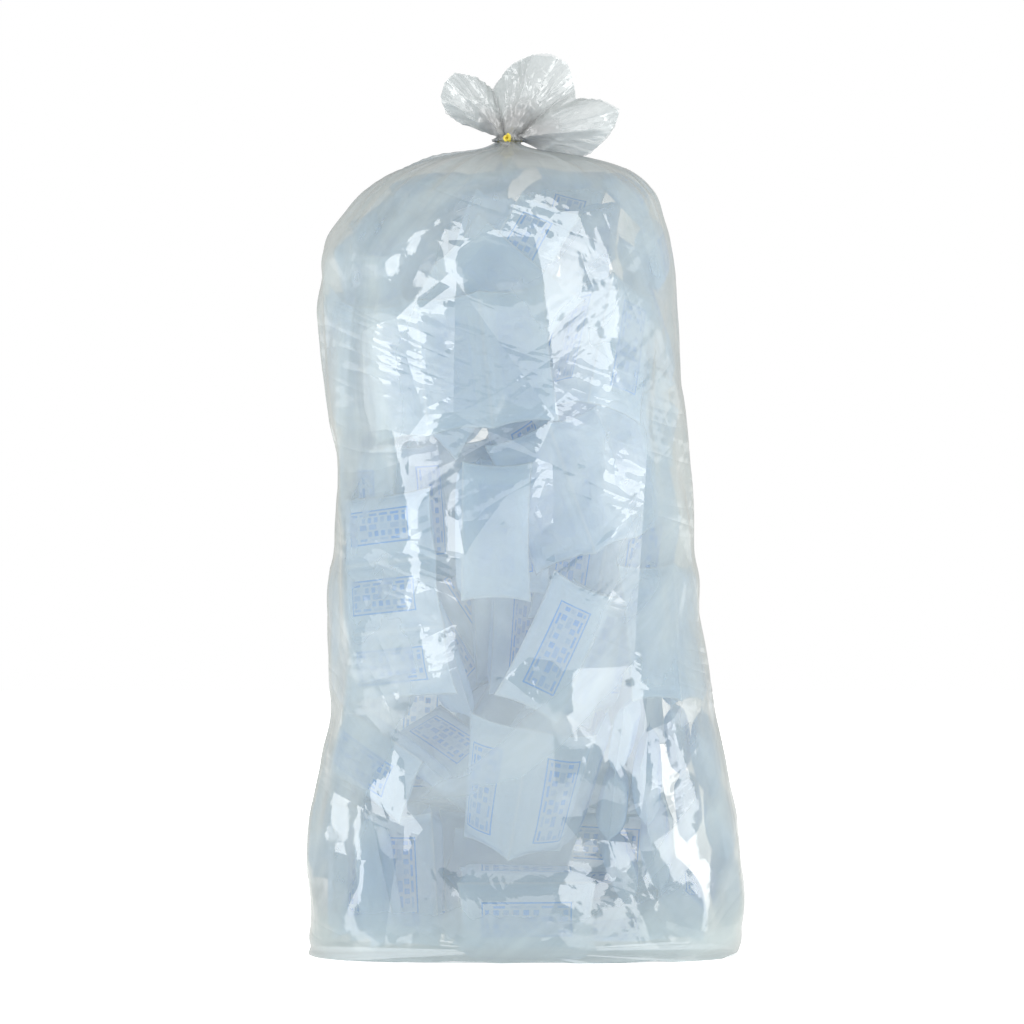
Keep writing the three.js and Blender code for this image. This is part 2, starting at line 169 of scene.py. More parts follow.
def rim_of(name):
    """The strip's rim as a closed loop of points, in order."""
    points, original = distinct_points(name)
    mesh = NODES[name].data
    faces = np.empty(3 * len(mesh.polygons), np.int32)
    mesh.loops.foreach_get("vertex_index", faces)
    faces = original.reshape(-1)[faces].reshape(-1, 3)
    a, b, c = points[faces].transpose(1, 0, 2)
    normals = unit(np.cross(b - a, c - a))
    edges = np.sort(np.concatenate([faces[:, [0, 1]], faces[:, [1, 2]], faces[:, [2, 0]]]), axis=1)
    owner = np.tile(np.arange(len(faces)), 3)
    order = np.lexsort(edges.T)
    edges, owner = edges[order][::2], owner[order].reshape(-1, 2)
    one, other = owner.T
    agree = dot(normals[one], normals[other])
    beyond = (a + b + c)[other] - 3 * points[edges[:, 0]]
    convex = dot(normals[one], beyond) < 0
    sharpest_first = np.argsort(np.where(convex, agree, 2))
    return points[follow_loop(edges[sharpest_first].tolist(), RIM_POINTS)].astype(float)


def follow_loop(edges, count):
    """Joins edges, best first, into one closed loop of that many points."""
    joined, chains = {}, {}
    for p, q in edges:
        if len(joined.get(p, ())) > 1 or len(joined.get(q, ())) > 1:
            continue
        one, other = chains.get(p, {p}), chains.get(q, {q})
        if one is other and len(one) != count:
            continue
        for point, partner in ((p, q), (q, p)):
            joined.setdefault(point, []).append(partner)
        if one is other:
            break
        one |= other
        chains.update(dict.fromkeys(one, one))
    loop = [p, q]
    while len(loop) < count:
        loop.append(next(point for point in joined[loop[-1]] if point != loop[-2]))
    return loop


# %% Measure the pillows
def seams_of(name):
    """The ends of the strip's four seams, an array of (seam, end, xyz).

    The middle point of an end has the two longest edges beside it, and a corner is two points on.
    """
    rim = rim_of(name)
    lengths = np.linalg.norm(np.roll(rim, -1, 0) - rim, axis=1)
    long_pairs = np.minimum(lengths, np.roll(lengths, 1))
    corner = int(np.argmax(long_pairs)) + 2
    rim = np.roll(rim, -corner, 0)
    per_side = len(rim) // 2
    one, other = rim[:per_side - 3], rim[per_side:2 * per_side - 3][::-1]
    return np.stack([one[::3], other[::3]], 1)


seams = np.array([seams_of(name) for name in STRIP_NAMES])
pitches = np.linalg.norm(np.diff(seams, axis=1), axis=-1)
spans = np.linalg.norm(seams[:, :, 1] - seams[:, :, 0], axis=-1)
PITCH, LENGTH = np.median(pitches), np.median(spans)
print(f"pitch {pitches.min():.3f} to {pitches.max():.3f} m, length {spans.min():.3f} to {spans.max():.3f} m")

# %% [markdown]
# ## Room for every pillow
#
# Two pillows press on each other along a flat face. For each pair that lies close, the flat plates
# between their seams are compared along ten directions (their normals, their edges and the cross
# products of their edges), and the direction with the widest gap gives the face between them.
# Two pillows of one strip share a seam, and the face through it halves the angle of their fold.


# %% Directions of every pillow
first, second = seams[:, :-1], seams[:, 1:]
corners = np.stack([first[:, :, 0], first[:, :, 1], second[:, :, 1], second[:, :, 0]], 2).reshape(-1, 4, 3)
centres = corners.mean(1)
across = unit(corners[:, 2] + corners[:, 3] - corners[:, 0] - corners[:, 1])
along = unit(corners[:, 1] + corners[:, 2] - corners[:, 0] - corners[:, 3])
normals = unit(np.cross(across, along))
PILLOWS = len(corners)
PER_STRIP = seams.shape[1] - 1
print(f"{PILLOWS} pillows, {PER_STRIP} in each strip")

# %% Find the faces between pillows
BULGE = 0.25 * PITCH
TOUCH = 0.2 * MM


def faces_between():
    """Planes as (pillow, normal, offset), with the pillow on the side where normal·x > offset."""
    i, j = np.triu_indices(PILLOWS, 1)
    near = np.linalg.norm(centres[i] - centres[j], axis=1) < np.hypot(PITCH, LENGTH) + 2 * BULGE
    share = (i // PER_STRIP == j // PER_STRIP) & (j - i < 2)
    i, j = i[near & ~share], j[near & ~share]
    edges = [np.cross(a[i], b[j]) for a in (across, along) for b in (across, along)]
    ways = unit(np.stack([normals[i], normals[j], across[i], along[i], across[j], along[j], *edges], 1))
    ways *= np.where(dot(ways, (centres[j] - centres[i])[:, None]) < 0, -1, 1)[..., None]
    reach_i = np.einsum("pwx,pcx->pwc", ways, corners[i]).max(-1)
    reach_j = np.einsum("pwx,pcx->pwc", ways, corners[j]).min(-1)
    best = np.argmax(reach_j - reach_i, axis=1)
    pick = np.arange(len(i))
    way, middle = ways[pick, best], (reach_i + reach_j)[pick, best] / 2
    k = np.arange(PILLOWS - 1)[np.arange(1, PILLOWS) % PER_STRIP > 0]
    fold = unit(across[k] + across[k + 1])
    offset = dot(fold, (corners[k, 2] + corners[k, 3]) / 2)
    return (
        np.concatenate([i, j, k, k + 1]),
        np.concatenate([-way, way, -fold, fold]),
        np.concatenate([TOUCH - middle, middle + TOUCH, -offset, offset]),
    )


def padded_planes(owner, normal, offset):
    """The same planes as one (pillow, plane, 4) block, filled up with planes that never matter."""
    order = np.argsort(owner, kind="stable")
    owner, planes = owner[order], np.column_stack([normal, offset])[order]
    place = np.arange(len(owner)) - np.searchsorted(owner, owner)
    block = np.tile([0.0, 0.0, 0.0, -1.0], (PILLOWS, place.max() + 1, 1))
    block[owner, place] = planes
    return block


planes = padded_planes(*faces_between())
print(f"up to {planes.shape[1]} faces round a pillow")

# %% [markdown]
# A point's distance outside the film comes from the oval of its height: $f = (|x'/w|^n +
# |y/d|^n)^{1/n} - 1$ is zero on the film and negative inside, and $f / |\nabla f|$ is close to the
# distance.


# %% Measure distances to the film
def beyond_film(points):
    """How far points lie outside the base surface, negative inside, and the way out."""
    def shell(x, y, z):
        """The formula f above, with the oval of height z."""
        width, lean, depth, roundness = curve_through(body_rings, np.clip(z, 0, NECK_Z)).T
        across, along = np.abs((x - lean) / width), np.abs(y / depth)
        return (across**roundness + along**roundness) ** (1 / roundness) - 1
    x, y, z = points.T
    value = shell(x, y, z)
    slope = np.stack([shell(x + MM, y, z), shell(x, y + MM, z), shell(x, y, z + MM)], 1) - value[:, None]
    steepness = np.maximum(np.linalg.norm(slope, axis=1), 1e-9)
    return value / steepness * MM, slope / steepness[:, None]


# %% [markdown]
# ## Inflate the pillows
#
# A pillow's film stands off its middle plane by $h = H\,(1-|2s-1|^{2.2})^{0.6}\,(1-|2t-1|^{6})^{0.6}$
# across ($s$) and along ($t$), with a flat sealed margin, puckers at both ends and a fill of its own.
# Where a neighbour or the bag's film is closer than that, the pillow is pressed flat. Cloth could
# inflate one cushion, but 174 of them in contact take too long.

# %% Spread points over a pillow
ACROSS_POINTS, ALONG_POINTS = 17, 33


def eased(count):
    """Points from 0 to 1, closer together towards both ends."""
    even = np.linspace(0, 1, count)
    return 0.45 * even + 0.55 * (1 - np.cos(np.pi * even)) / 2


s, t = np.meshgrid(eased(ACROSS_POINTS), eased(ALONG_POINTS), indexing="ij")
print(f"{s.size} points on each side of a pillow")

# %% Fill the cushions with air
FREE_HEIGHT = 0.31 * PITCH
SIDE_SEAM, END_SEAM = 3.5 * MM, 6 * MM


def free_heights():
    """How far each pillow would stand off if nothing pressed on it, (pillow, side, s, t)."""
    margin_s, margin_t = SIDE_SEAM / PITCH, END_SEAM / LENGTH
    inner_s = np.clip((s - margin_s) / (1 - 2 * margin_s), 0, 1)
    inner_t = np.clip((t - margin_t) / (1 - 2 * margin_t), 0, 1)
    dome = (1 - np.abs(2 * inner_s - 1) ** 2.2) ** 0.6 * (1 - np.abs(2 * inner_t - 1) ** 6) ** 0.6
    fill = rng.uniform(0.85, 1.08, (PILLOWS, 1, 1, 1))
    phase = rng.uniform(0, 2 * np.pi, (PILLOWS, 2, 1, 1))
    folds = rng.integers(3, 6, (PILLOWS, 2, 1, 1))
    end = np.exp(-inner_t / 0.09) + np.exp(-(1 - inner_t) / 0.09)
    pucker = 1 + 0.3 * end * np.cos(2 * np.pi * folds * s + phase)
    wave = 1 + 0.04 * np.cos(np.pi * (3 * s + 2 * t) + 2 * phase)
    return FREE_HEIGHT * dome * fill * pucker * wave


free = free_heights()
print(f"free pillows stand {free.max() / MM:.0f} mm off their middle at most")

# %% Pull the seams in between the corners
END_PULL, SIDE_PULL = 6 * MM, 4 * MM


def middle_surface():
    """The pillows' middle planes (pillow, s, t, xyz), with the film pulled in between the corners."""
    a, b, c, d = corners[:, :, None, None].transpose(1, 0, 2, 3, 4)
    pull_t = END_PULL / LENGTH * (1 - (2 * s - 1) ** 2) * (np.exp(-t / 0.12) - np.exp(-(1 - t) / 0.12))
    bow = 1 - (2 * t - 1) ** 2
    left, right = np.exp(-s / 0.15), np.exp(-(1 - s) / 0.15)
    is_first = (np.arange(PILLOWS) % PER_STRIP == 0)[:, None, None]
    is_last = (np.arange(PILLOWS) % PER_STRIP == PER_STRIP - 1)[:, None, None]
    pull_s = SIDE_PULL / PITCH * bow * (left * is_first - right * is_last)
    u, v = (s + pull_s)[..., None], (t + pull_t)[None, ..., None]
    return a * (1 - u) * (1 - v) + b * (1 - u) * v + c * u * v + d * u * (1 - v)


middle = middle_surface()
print(f"middle planes of {middle.shape[0]} pillows")

# %% Press them on their neighbours and the film
SEAL = 0.3 * MM
FILM_ROOM = 2.2 * MM
ROUNDING = 5


def pressed_heights(middle, ways, free):
    """free, lowered smoothly where a face between pillows or the bag's film is in the way.

    The height is (free^-p + limit^-p + ...)^(-1/p), which stays below every limit and rounds off
    the edge where one takes over from another.
    """
    total = np.maximum(free, SEAL) ** -ROUNDING
    for plane in planes.transpose(1, 0, 2):
        slack = np.einsum("pstx,px->pst", middle, plane[:, :3]) - plane[:, 3, None, None]
        closing = -dot(ways, plane[:, None, :3])[..., None, None]
        limit = np.maximum(slack[:, None] / np.maximum(closing, 1e-6), SEAL)
        total += np.where(closing > 1e-6, limit**-ROUNDING, 0)
    height = (total ** (-1 / ROUNDING)).reshape(-1)
    ways_all = np.broadcast_to(ways[:, :, None, None], free.shape + (3,)).reshape(-1, 3)
    middle_all = np.broadcast_to(middle[:, None], free.shape + (3,)).reshape(-1, 3)
    reach = np.full(len(height), 2 * FREE_HEIGHT)
    for _ in range(8):
        tips = middle_all + ways_all * reach[:, None]
        distance, out = beyond_film(tips)
        over = np.maximum(distance + FILM_ROOM, 0) / np.maximum(dot(out, ways_all), 0.25)
        below = np.maximum(FILM_ROOM - tips[:, 2], 0) / np.maximum(-ways_all[:, 2], 0.25)
        reach = np.maximum(reach - np.maximum(over, below), SEAL)
    height = (height**-ROUNDING + reach**-ROUNDING) ** (-1 / ROUNDING)
    return np.maximum(height, SEAL).reshape(free.shape)


def smoothed(height):
    """The height, or 0.4 of it and 0.15 of each neighbour where that is less; rims left alone."""
    soft = height.copy()
    inner = height[..., 1:-1, 1:-1]
    beside = height[..., 2:, 1:-1] + height[..., :-2, 1:-1] + height[..., 1:-1, 2:] + height[..., 1:-1, :-2]
    soft[..., 1:-1, 1:-1] = np.minimum(inner, 0.4 * inner + 0.15 * beside)
    return soft


ways = np.stack([normals, -normals], 1)
heights = pressed_heights(middle, ways, free)
for _ in range(3):
    heights = smoothed(heights)
heights[:, :, [0, -1]] = SEAL
heights[:, :, :, [0, -1]] = SEAL
print(f"pillows are {2 * heights.max(axis=(1, 2, 3)).mean() / MM:.0f} mm thick on average")

# %% [markdown]
# Each strip becomes one mesh: a top and a bottom grid over its three pillows that share the rim.
# Its UV map runs from 0 to 1 along and across every pillow, and the unprinted side is shifted by 2,
# so the print shows on one side only.


# %% Put arrays into meshes
def build_mesh(name, points, quads, uv=None):
    """A smooth mesh object from points, quads and, where given, one UV for each quad's corner."""
    mesh = bpy.data.meshes.new(name)
    mesh.vertices.add(len(points))
    mesh.vertices.foreach_set("co", points.astype(np.float32).ravel())
    mesh.loops.add(quads.size)
    mesh.loops.foreach_set("vertex_index", quads.astype(np.int32).ravel())
    mesh.polygons.add(len(quads))
    mesh.polygons.foreach_set("loop_start", np.arange(0, quads.size, quads.shape[1], dtype=np.int32))
    mesh.update(calc_edges=True)
    mesh.polygons.foreach_set("use_smooth", np.ones(len(quads), bool))
    if uv is not None:
        mesh.uv_layers.new(name="UVMap").data.foreach_set("uv", uv.astype(np.float32).ravel())
    mesh.validate()
    piece = bpy.data.objects.new(name, mesh)
    bpy.context.scene.collection.objects.link(piece)
    return piece


def cell_corners(grid):
    """The four corners of every cell of a grid, in order round the cell."""
    return np.stack([grid[:-1, :-1], grid[1:, :-1], grid[1:, 1:], grid[:-1, 1:]], 2)


# %% Build the strips
def strip_mesh(index, name):
    """The strip's three pillows as one closed mesh, and the piece that shows it."""
    own = slice(index * PER_STRIP, (index + 1) * PER_STRIP)
    sheets = []
    for side in (0, 1):
        film = middle[own] + ways[own, side][:, None, None] * heights[own, side][..., None]
        grid = np.concatenate([film[0], *film[1:, 1:]])
        for k in range(1, PER_STRIP):
            seam = film[k - 1, -1] + film[k, 0] - middle[own][k, 0]
            grid[k * (ACROSS_POINTS - 1)] = seam
        sheets.append(grid)
    sheets = np.array(sheets)
    is_rim = np.ones(sheets.shape[1:3], bool)
    is_rim[1:-1, 1:-1] = False
    sheets[:, is_rim] = sheets[:, is_rim].mean(0)
    numbers = np.arange(2 * is_rim.size).reshape(2, *is_rim.shape)
    numbers[1][is_rim] = numbers[0][is_rim]
    top, bottom = (cell_corners(table).reshape(-1, 4) for table in numbers)
    used, quads = np.unique(np.concatenate([top, bottom[:, ::-1]]), return_inverse=True)
    uv = np.tile(cell_corners(np.stack([t, s], -1)), (PER_STRIP, 1, 1, 1)).reshape(-1, 4, 2)
    top_shift, bottom_shift = ([0, 2], [0, 0]) if index % 2 else ([0, 0], [0, 2])
    uv_sides = np.concatenate([uv + top_shift, uv[:, ::-1] + bottom_shift])
    piece = build_mesh(name, sheets.reshape(-1, 3)[used], quads.reshape(-1, 4), uv_sides)
    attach(piece, "root")
    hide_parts(STRIP_NAMES[index])
    return piece


strips = [strip_mesh(k, f"air_pillows_{k + 1:02d}") for k in range(len(STRIP_NAMES))]
print(f"{len(strips)} strips of {len(strips[0].data.polygons)} quads")

# %% [markdown]
# ## Room for the film
#
# The film hangs over the pillows' outermost points and may sink into the hollows between them. For
# each cell of the bag's grid, the closest pillow gives how far the film may go in. A pillow point's
# cell comes from the nearest place on the base surface: its height gives the row, and its angle on
# the oval gives the column.


# %% Measure how far the film may sink
FARTHEST = 45 * MM


def film_cells(points):
    """The grid row and column beside each point, and the point's depth under the base surface."""
    distance, out = beyond_film(points)
    beside = points - out * distance[:, None]
    row = np.rint(np.interp(beside[:, 2], row_heights, np.arange(BODY_ROWS))).astype(int)
    width, lean, depth, roundness = row_shapes[row].T
    x, y = (beside[:, 0] - lean) / width, beside[:, 1] / depth
    cosine = np.sign(x) * np.abs(x) ** (roundness / 2)
    sine = np.sign(y) * np.abs(y) ** (roundness / 2)
    angle = np.arctan2(sine, cosine) % (2 * np.pi)
    every_angle = (row_angles + 2 * np.pi * np.arange(BODY_ROWS)[:, None]).ravel()
    column = np.searchsorted(every_angle, angle + 2 * np.pi * row) - row * COLUMNS
    return row, column % COLUMNS, -distance


def around(field, reach):
    """The lowest value within a few cells of each cell."""
    padded = np.pad(field, ((reach, reach), (0, 0)), constant_values=FARTHEST)
    lowest = np.min([padded[i:i + len(field)] for i in range(2 * reach + 1)], axis=0)
    return np.min([np.roll(lowest, j, axis=1) for j in range(-reach, reach + 1)], axis=0)


# %% Let the film sink between the pillows
TOUCHING = 1.2 * MM

pillow_points = (middle[:, None] + ways[:, :, None, None] * heights[..., None]).reshape(-1, 3)
row, column, depth = film_cells(pillow_points)
room = np.full((BODY_ROWS, COLUMNS), FARTHEST)
np.minimum.at(room, (row, column), depth)
sink = np.interp(row_heights, (0.0, 0.95, 1.05, NECK_Z), (10 * MM, 10 * MM, 5 * MM, 4 * MM))
room = np.minimum(np.maximum(around(room, 2) - TOUCHING, 0), sink[:, None])
for _ in range(12):
    beside = np.roll(room, 1, axis=1) + np.roll(room, -1, axis=1)
    above_below = np.pad(room, ((1, 1), (0, 0)), mode="edge")
    room = np.minimum(room, (beside + above_below[2:] + above_below[:-2] + 2 * room) / 6)
room = room.astype(np.float32)
print(f"the film may sink {room.mean() / MM:.0f} mm on average")

# %% [markdown]
# ## Drape the film
#
# The film can't stretch, so it takes up its spare length in folds. Gravity and a slight pull inwards
# move its points, the edges of the grid pull and push them back to the length the film was cut to,
# and the pillows stop them. A weak push between every second point keeps the folds broad, as stiff
# film does. A grid four times coarser forms the long folds first, and finer ones add the creases.
# Cloth does the same, but it would have to collide with 58 strips; here room has the answer ready.

# %% Spread values over the film's grid
def spread(field, size, top, ease):
    """The field from its first row up to row top, on a grid of that size that joins up round it."""
    rows_count, columns_count = size
    up = np.linspace(0, top, rows_count)
    turn = np.arange(columns_count) * field.shape[1] / columns_count
    i, j = np.minimum(up.astype(int), len(field) - 2), turn.astype(int)
    extra = (1,) * (field.ndim - 2)
    a, b = ease((up - i).reshape(-1, 1, *extra)), ease((turn - j).reshape(1, -1, *extra))
    j_next = (j + 1) % field.shape[1]
    low = field[i][:, j] * (1 - b) + field[i][:, j_next] * b
    high = field[i + 1][:, j] * (1 - b) + field[i + 1][:, j_next] * b
    return low * (1 - a) + high * a


def resampled(field, rows_count, columns_count):
    """The field on another grid, in straight lines between its values."""
    return spread(field, (rows_count, columns_count), len(field) - 1, lambda share: share).astype(np.float32)


def smooth_noise(rows_count, columns_count, cells_up, cells_round):
    """Random values between -1 and 1 that change smoothly over the grid."""
    knots = rng.uniform(-1, 1, (cells_up + 2, cells_round))
    return spread(knots, (rows_count, columns_count), cells_up, lambda share: share * share * (3 - 2 * share))


def facets(rows_count, columns_count, cells_up, cells_round, tilt):
    """Nearly flat facets that meet in creases: the highest of o + g·d - 0.4 d² over near seeds."""
    v = np.linspace(0, cells_up, rows_count, endpoint=False)[:, None]
    u = (np.arange(columns_count) * cells_round / columns_count)[None]
    seeds = rng.uniform(0.1, 0.9, (cells_up, cells_round, 2))
    offsets = rng.uniform(0, 0.4, (cells_up, cells_round))
    tilts = rng.uniform(-tilt, tilt, (cells_up, cells_round, 2))
    i, j = np.floor(v).astype(int), np.floor(u).astype(int)
    best = np.full((rows_count, columns_count), -9.0)
    for di in range(-2, 3):
        for dj in range(-2, 3):
            row, column = np.clip(i + di, 0, cells_up - 1), (j + dj) % cells_round
            dv = v - (row + seeds[row, column, 0])
            du = u - (j + dj + seeds[row, column, 1])
            rise = offsets[row, column] + tilts[row, column, 0] * dv + tilts[row, column, 1] * du
            best = np.maximum(best, rise - 0.4 * (dv**2 + du**2))
    return best - best.mean()


# %% Keep the film's edges at their length
def to_length(film, rest, rows_apart, columns_apart, stiffness, only_push=False):
    """Moves both ends of every edge along it, each by half of what it lacks or has over, times stiffness."""
    ahead = np.roll(film, -columns_apart, axis=1)[rows_apart:]
    gap = ahead - film[: len(film) - rows_apart]
    length = np.sqrt(np.einsum("...i,...i->...", gap, gap)) + 1e-7
    share = 0.5 * stiffness * (1 - rest / length)
    if only_push:
        share = np.minimum(share, 0)
    move = gap * share[..., None]
    film[: len(film) - rows_apart] += move
    film[rows_apart:] -= np.roll(move, columns_apart, axis=1)


def edge_lengths(grid, rows_apart, columns_apart, spare):
    """Lengths from every point to the one some rows and columns on, with the spare share added."""
    ahead = np.roll(grid, -columns_apart, axis=1)[rows_apart:]
    length = np.linalg.norm(ahead - grid[: len(grid) - rows_apart], axis=-1)
    return (length * (1 + spare[: len(length)])).astype(np.float32)


def film_edges(grid, round_spare, up_spare, both_spare, soft):
    """Every kind of edge: its lengths, rows and columns apart, stiffness, and whether it only pushes."""
    return [
        (edge_lengths(grid, 0, 1, round_spare), 0, 1, 0.7),
        (edge_lengths(grid, 1, 0, up_spare), 1, 0, 0.7),
        (edge_lengths(grid, 1, 1, both_spare), 1, 1, soft),
        (edge_lengths(grid, 1, -1, both_spare), 1, -1, soft),
        (edge_lengths(grid, 0, 2, round_spare), 0, 2, soft, True),
        (edge_lengths(grid, 2, 0, up_spare), 2, 0, soft, True),
    ]


def surface_normals(grid):
    """Unit normals of a grid that joins up round its columns, pointing out of the bag."""
    up = np.gradient(grid, axis=0)
    round_ = np.roll(grid, -1, axis=1) - np.roll(grid, 1, axis=1)
    return unit(np.cross(round_, up))


# %% Give the film its spare length and first folds
FILM_GIRTH = 1.70

gathered = np.clip(FILM_GIRTH / girths - 1, 0, 0.75)
patches = smooth_noise(BODY_ROWS, COLUMNS, 9, 10)
spare_round = 0.009 + 0.008 * patches + 0.15 * np.maximum(gathered - 0.06, 0)[:, None]
spare_up = 0.007 + 0.006 * smooth_noise(BODY_ROWS, COLUMNS, 8, 12)
start_folds = (
    3.0 * smooth_noise(BODY_ROWS, COLUMNS, 7, 26)
    + 1.6 * smooth_noise(BODY_ROWS, COLUMNS, 16, 48)
    + 8 * np.clip(gathered, 0, 0.5)[:, None] * smooth_noise(BODY_ROWS, COLUMNS, 3, 52)
) * MM
moved = (surface_normals(body_base) * start_folds[..., None]).astype(np.float32)
print(f"spare length {spare_round.mean():.1%} round and {spare_up.mean():.1%} up")

# %% Let it hang
LEVELS = ((4, 140), (2, 120), (1, 100))
SLIDE = 9 * MM
MOST_OUT = 5 * MM
FLOOR_GAP = 0.3 * MM

for stride, passes in LEVELS:
    size = (-(-BODY_ROWS // stride), COLUMNS // stride)
    base = resampled(body_base, *size)
    normal = surface_normals(base).astype(np.float32)
    moved = resampled(moved, *size)
    limit = -resampled(room, *size)
    round_spare, up_spare = resampled(spare_round, *size), resampled(spare_up, *size)
    edges = film_edges(base, round_spare, up_spare, (round_spare + up_spare) / 2, 0.4)
    ends = [0, -1]
    film = base + moved
    before = film.copy()
    most_out = (MOST_OUT * np.minimum(1, base[..., 2] / 0.03)).astype(np.float32)
    held = film[ends].copy()
    for _ in range(passes):
        speed = film - before
        before = film.copy()
        film += 0.85 * speed
        film[..., 2] -= 0.01 * MM * stride
        film -= normal * (0.012 * MM * stride)
        for _ in range(3):
            for edge in edges:
                to_length(film, *edge)
            film[ends] = held
        height = dot(film - base, normal)[..., None]
        slide = film - base - normal * height
        slide *= np.minimum(1, SLIDE / np.maximum(np.linalg.norm(slide, axis=-1, keepdims=True), SLIDE))
        film = base + slide + normal * np.clip(height, limit[..., None], most_out[..., None])
        film[..., 2] = np.maximum(film[..., 2], FLOOR_GAP)
        film[ends] = held
    moved = film - base
    print(f"grid of {size[0]} by {size[1]}: moved {np.abs(dot(moved, normal)).mean() / MM:.1f} mm on average")

# %% [markdown]
# Averaging takes out the settled film's zigzag. The sharper creases are added along its normal:
# nearly flat facets of three sizes that meet in lines, and pleats that gather towards the neck. The
# result stays between the pillows below and a few millimetres above the smooth shape.


# %% Crease and pleat it
def calmed(field, passes):
    """The field averaged with its neighbours, its first and last rows left alone."""
    for _ in range(passes):
        beside = np.roll(field, 1, axis=1) + np.roll(field, -1, axis=1)
        field = field.copy()
        field[1:-1] = 0.5 * field[1:-1] + (beside[1:-1] + field[2:] + field[:-2]) / 8
    return field


CALM_PASSES = 24
PLEATS = 29
film = base + calmed(moved, CALM_PASSES)
creases = (
    12 * facets(BODY_ROWS, COLUMNS, 9, 14, 0.6)
    + 5 * facets(BODY_ROWS, COLUMNS, 17, 29, 0.6)
    + 1.5 * facets(BODY_ROWS, COLUMNS, 38, 62, 0.6)
) * MM
fade = np.clip(np.minimum(body_base[..., 2] / 0.04, (NECK_Z - body_base[..., 2]) / 0.12), 0, 1)
turns = PLEATS * np.arange(COLUMNS) / COLUMNS + 0.9 * smooth_noise(BODY_ROWS, COLUMNS, 5, 12)
ridges = 1 - np.abs(np.sin(np.pi * turns)) ** 0.6 - 0.3
pleat_depth = np.interp(row_heights, (0.88, 0.98, 1.06, NECK_Z - 0.01, NECK_Z), (0, 1.5, 4, 3, 0))
pleats = pleat_depth[:, None] * (0.7 + 0.5 * smooth_noise(BODY_ROWS, COLUMNS, 5, 16)) * ridges * MM
height = dot(film - base, normal)
wanted = np.clip(height + (creases + 3 * MM) * fade + pleats, limit, 3 * most_out)
body_film = film + normal * (wanted - height)[..., None]
print(f"creases stand {np.ptp(creases) / MM:.0f} mm apart at most")

# %% [markdown]
# Below 40 mm the CAD shape curves in, where the full bag's film drops straight to the floor, so
# those rows are widened to the shape at 40 mm. The bottom is the lowest row drawn in to the middle.

# %% Square the foot
CORNER = 0.04
FOOT_ROWS = 10
FOOT_MIDDLE = 0.03

width, lean, depth, _ = curve_through(body_rings, np.array([CORNER]))[0]
row_width, row_lean, row_depth, _ = row_shapes.T[:, :, None]
in_foot = (row_heights < CORNER)[:, None]
body_film[..., 0] = row_lean + (body_film[..., 0] - row_lean) * np.where(in_foot, width / row_width, 1)
body_film[..., 1] *= np.where(in_foot, depth / row_depth, 1)
foot_film = body_film[0] * np.linspace(FOOT_MIDDLE, 1, FOOT_ROWS, endpoint=False)[:, None, None]
print(f"the foot is {np.ptp(foot_film[..., 0]):.2f} m wide, {np.count_nonzero(in_foot)} rows drop straight")

# %% [markdown]
# ## Open the ruffle
#
# The ruffle above the tie is a fan of the same film, with its outline read from the CAD ruffle. The
# film's columns go over the rear sheet from right to left and back over the front one. The sheets
# bulge apart in three lobes, and the spare width stands in folds that grow towards the rim.

# %% Measure the ruffle
RUFFLE_STEPS = 26
LIP_Z, LIP_WIDTH, LIP_X = LIP[:3]
LOBE_ENDS = (-20, 37, 110, 176)


def fan_outline():
    """Angles, and how far the CAD ruffle reaches from the lip at each."""
    top = bag_points[bag_points[:, 2] > LIP_Z - MM] - [LIP_X, 0, LIP_Z]
    angle, reach = np.arctan2(top[:, 2], top[:, 0]), np.hypot(top[:, 0], top[:, 2])
    order = np.argsort(angle)
    angle, reach = angle[order], reach[order]
    rim = reach > 0.85 * np.array([reach[np.abs(angle - a) < 0.09].max() for a in angle])
    rim &= reach > 0.04
    return angle[rim], reach[rim]


angles, reaches = fan_outline()
print(f"the ruffle's rim lies {reaches.min() / MM:.0f} to {reaches.max() / MM:.0f} mm from the lip")


# %% Fan it out
def ruffle_grid():
    """The fan as x = l + r R cos p, z = h + r R sin p, whose two sheets bulge apart in each lobe."""
    r = np.linspace(0, 1, RUFFLE_STEPS + 1)[1:, None]
    turn = np.arange(COLUMNS) / COLUMNS
    is_front = turn > 0.5
    share = np.where(is_front, 2 - 2 * turn, 2 * turn)
    lowest = np.radians(LOBE_ENDS[0])
    angle = lowest + (angles[-1] - lowest) * share
    place = np.interp(angle, np.radians(LOBE_ENDS), np.arange(len(LOBE_ENDS))) % 1
    closed = np.clip(7 * np.minimum(share, 1 - share), 0, 1)
    bulge = closed * (0.45 + 0.55 * np.sin(np.pi * place) ** 0.7) * np.where(is_front, -1, 1)
    folds = 0.7 * np.sin(2 * np.pi * 9 * turn + 2 * smooth_noise(1, COLUMNS, 1, 7)[0])
    folds = folds + 0.3 * np.sin(2 * np.pi * 19 * turn + 3 * smooth_noise(1, COLUMNS, 1, 11)[0])
    folds = folds * (1 - 0.5 * r**3)
    crumple = facets(RUFFLE_STEPS, COLUMNS, 5, 30, 0.7)
    angle = angle + 0.05 * r * np.roll(folds, 8, axis=-1)
    reach = np.interp(angle, np.r_[lowest, angles], np.r_[0.6 * reaches[0], reaches])
    apart = 27 * MM * np.sin(np.pi * 0.78 * r**0.8)
    y = bulge * (LIP_WIDTH * (1 - r) + apart)
    y = y + 6 * MM * folds * r + 12 * MM * crumple * r * (1 - 0.5 * r)
    x, z = LIP_X + r * reach * np.cos(angle), LIP_Z + r * reach * np.sin(angle)
    x = x + (1 - r) ** 3 * LIP_WIDTH * np.cos(2 * np.pi * turn) * 0.8
    return np.stack([x, y, z + 6 * MM * np.roll(crumple, 5, axis=1) * r], -1)


# %% [markdown]
# The film goes straight up through the tie, then folds out and down over it like a cuff, because
# the ruffle's weight pulls it open. The same draping as before lets the ruffle buckle and droop.

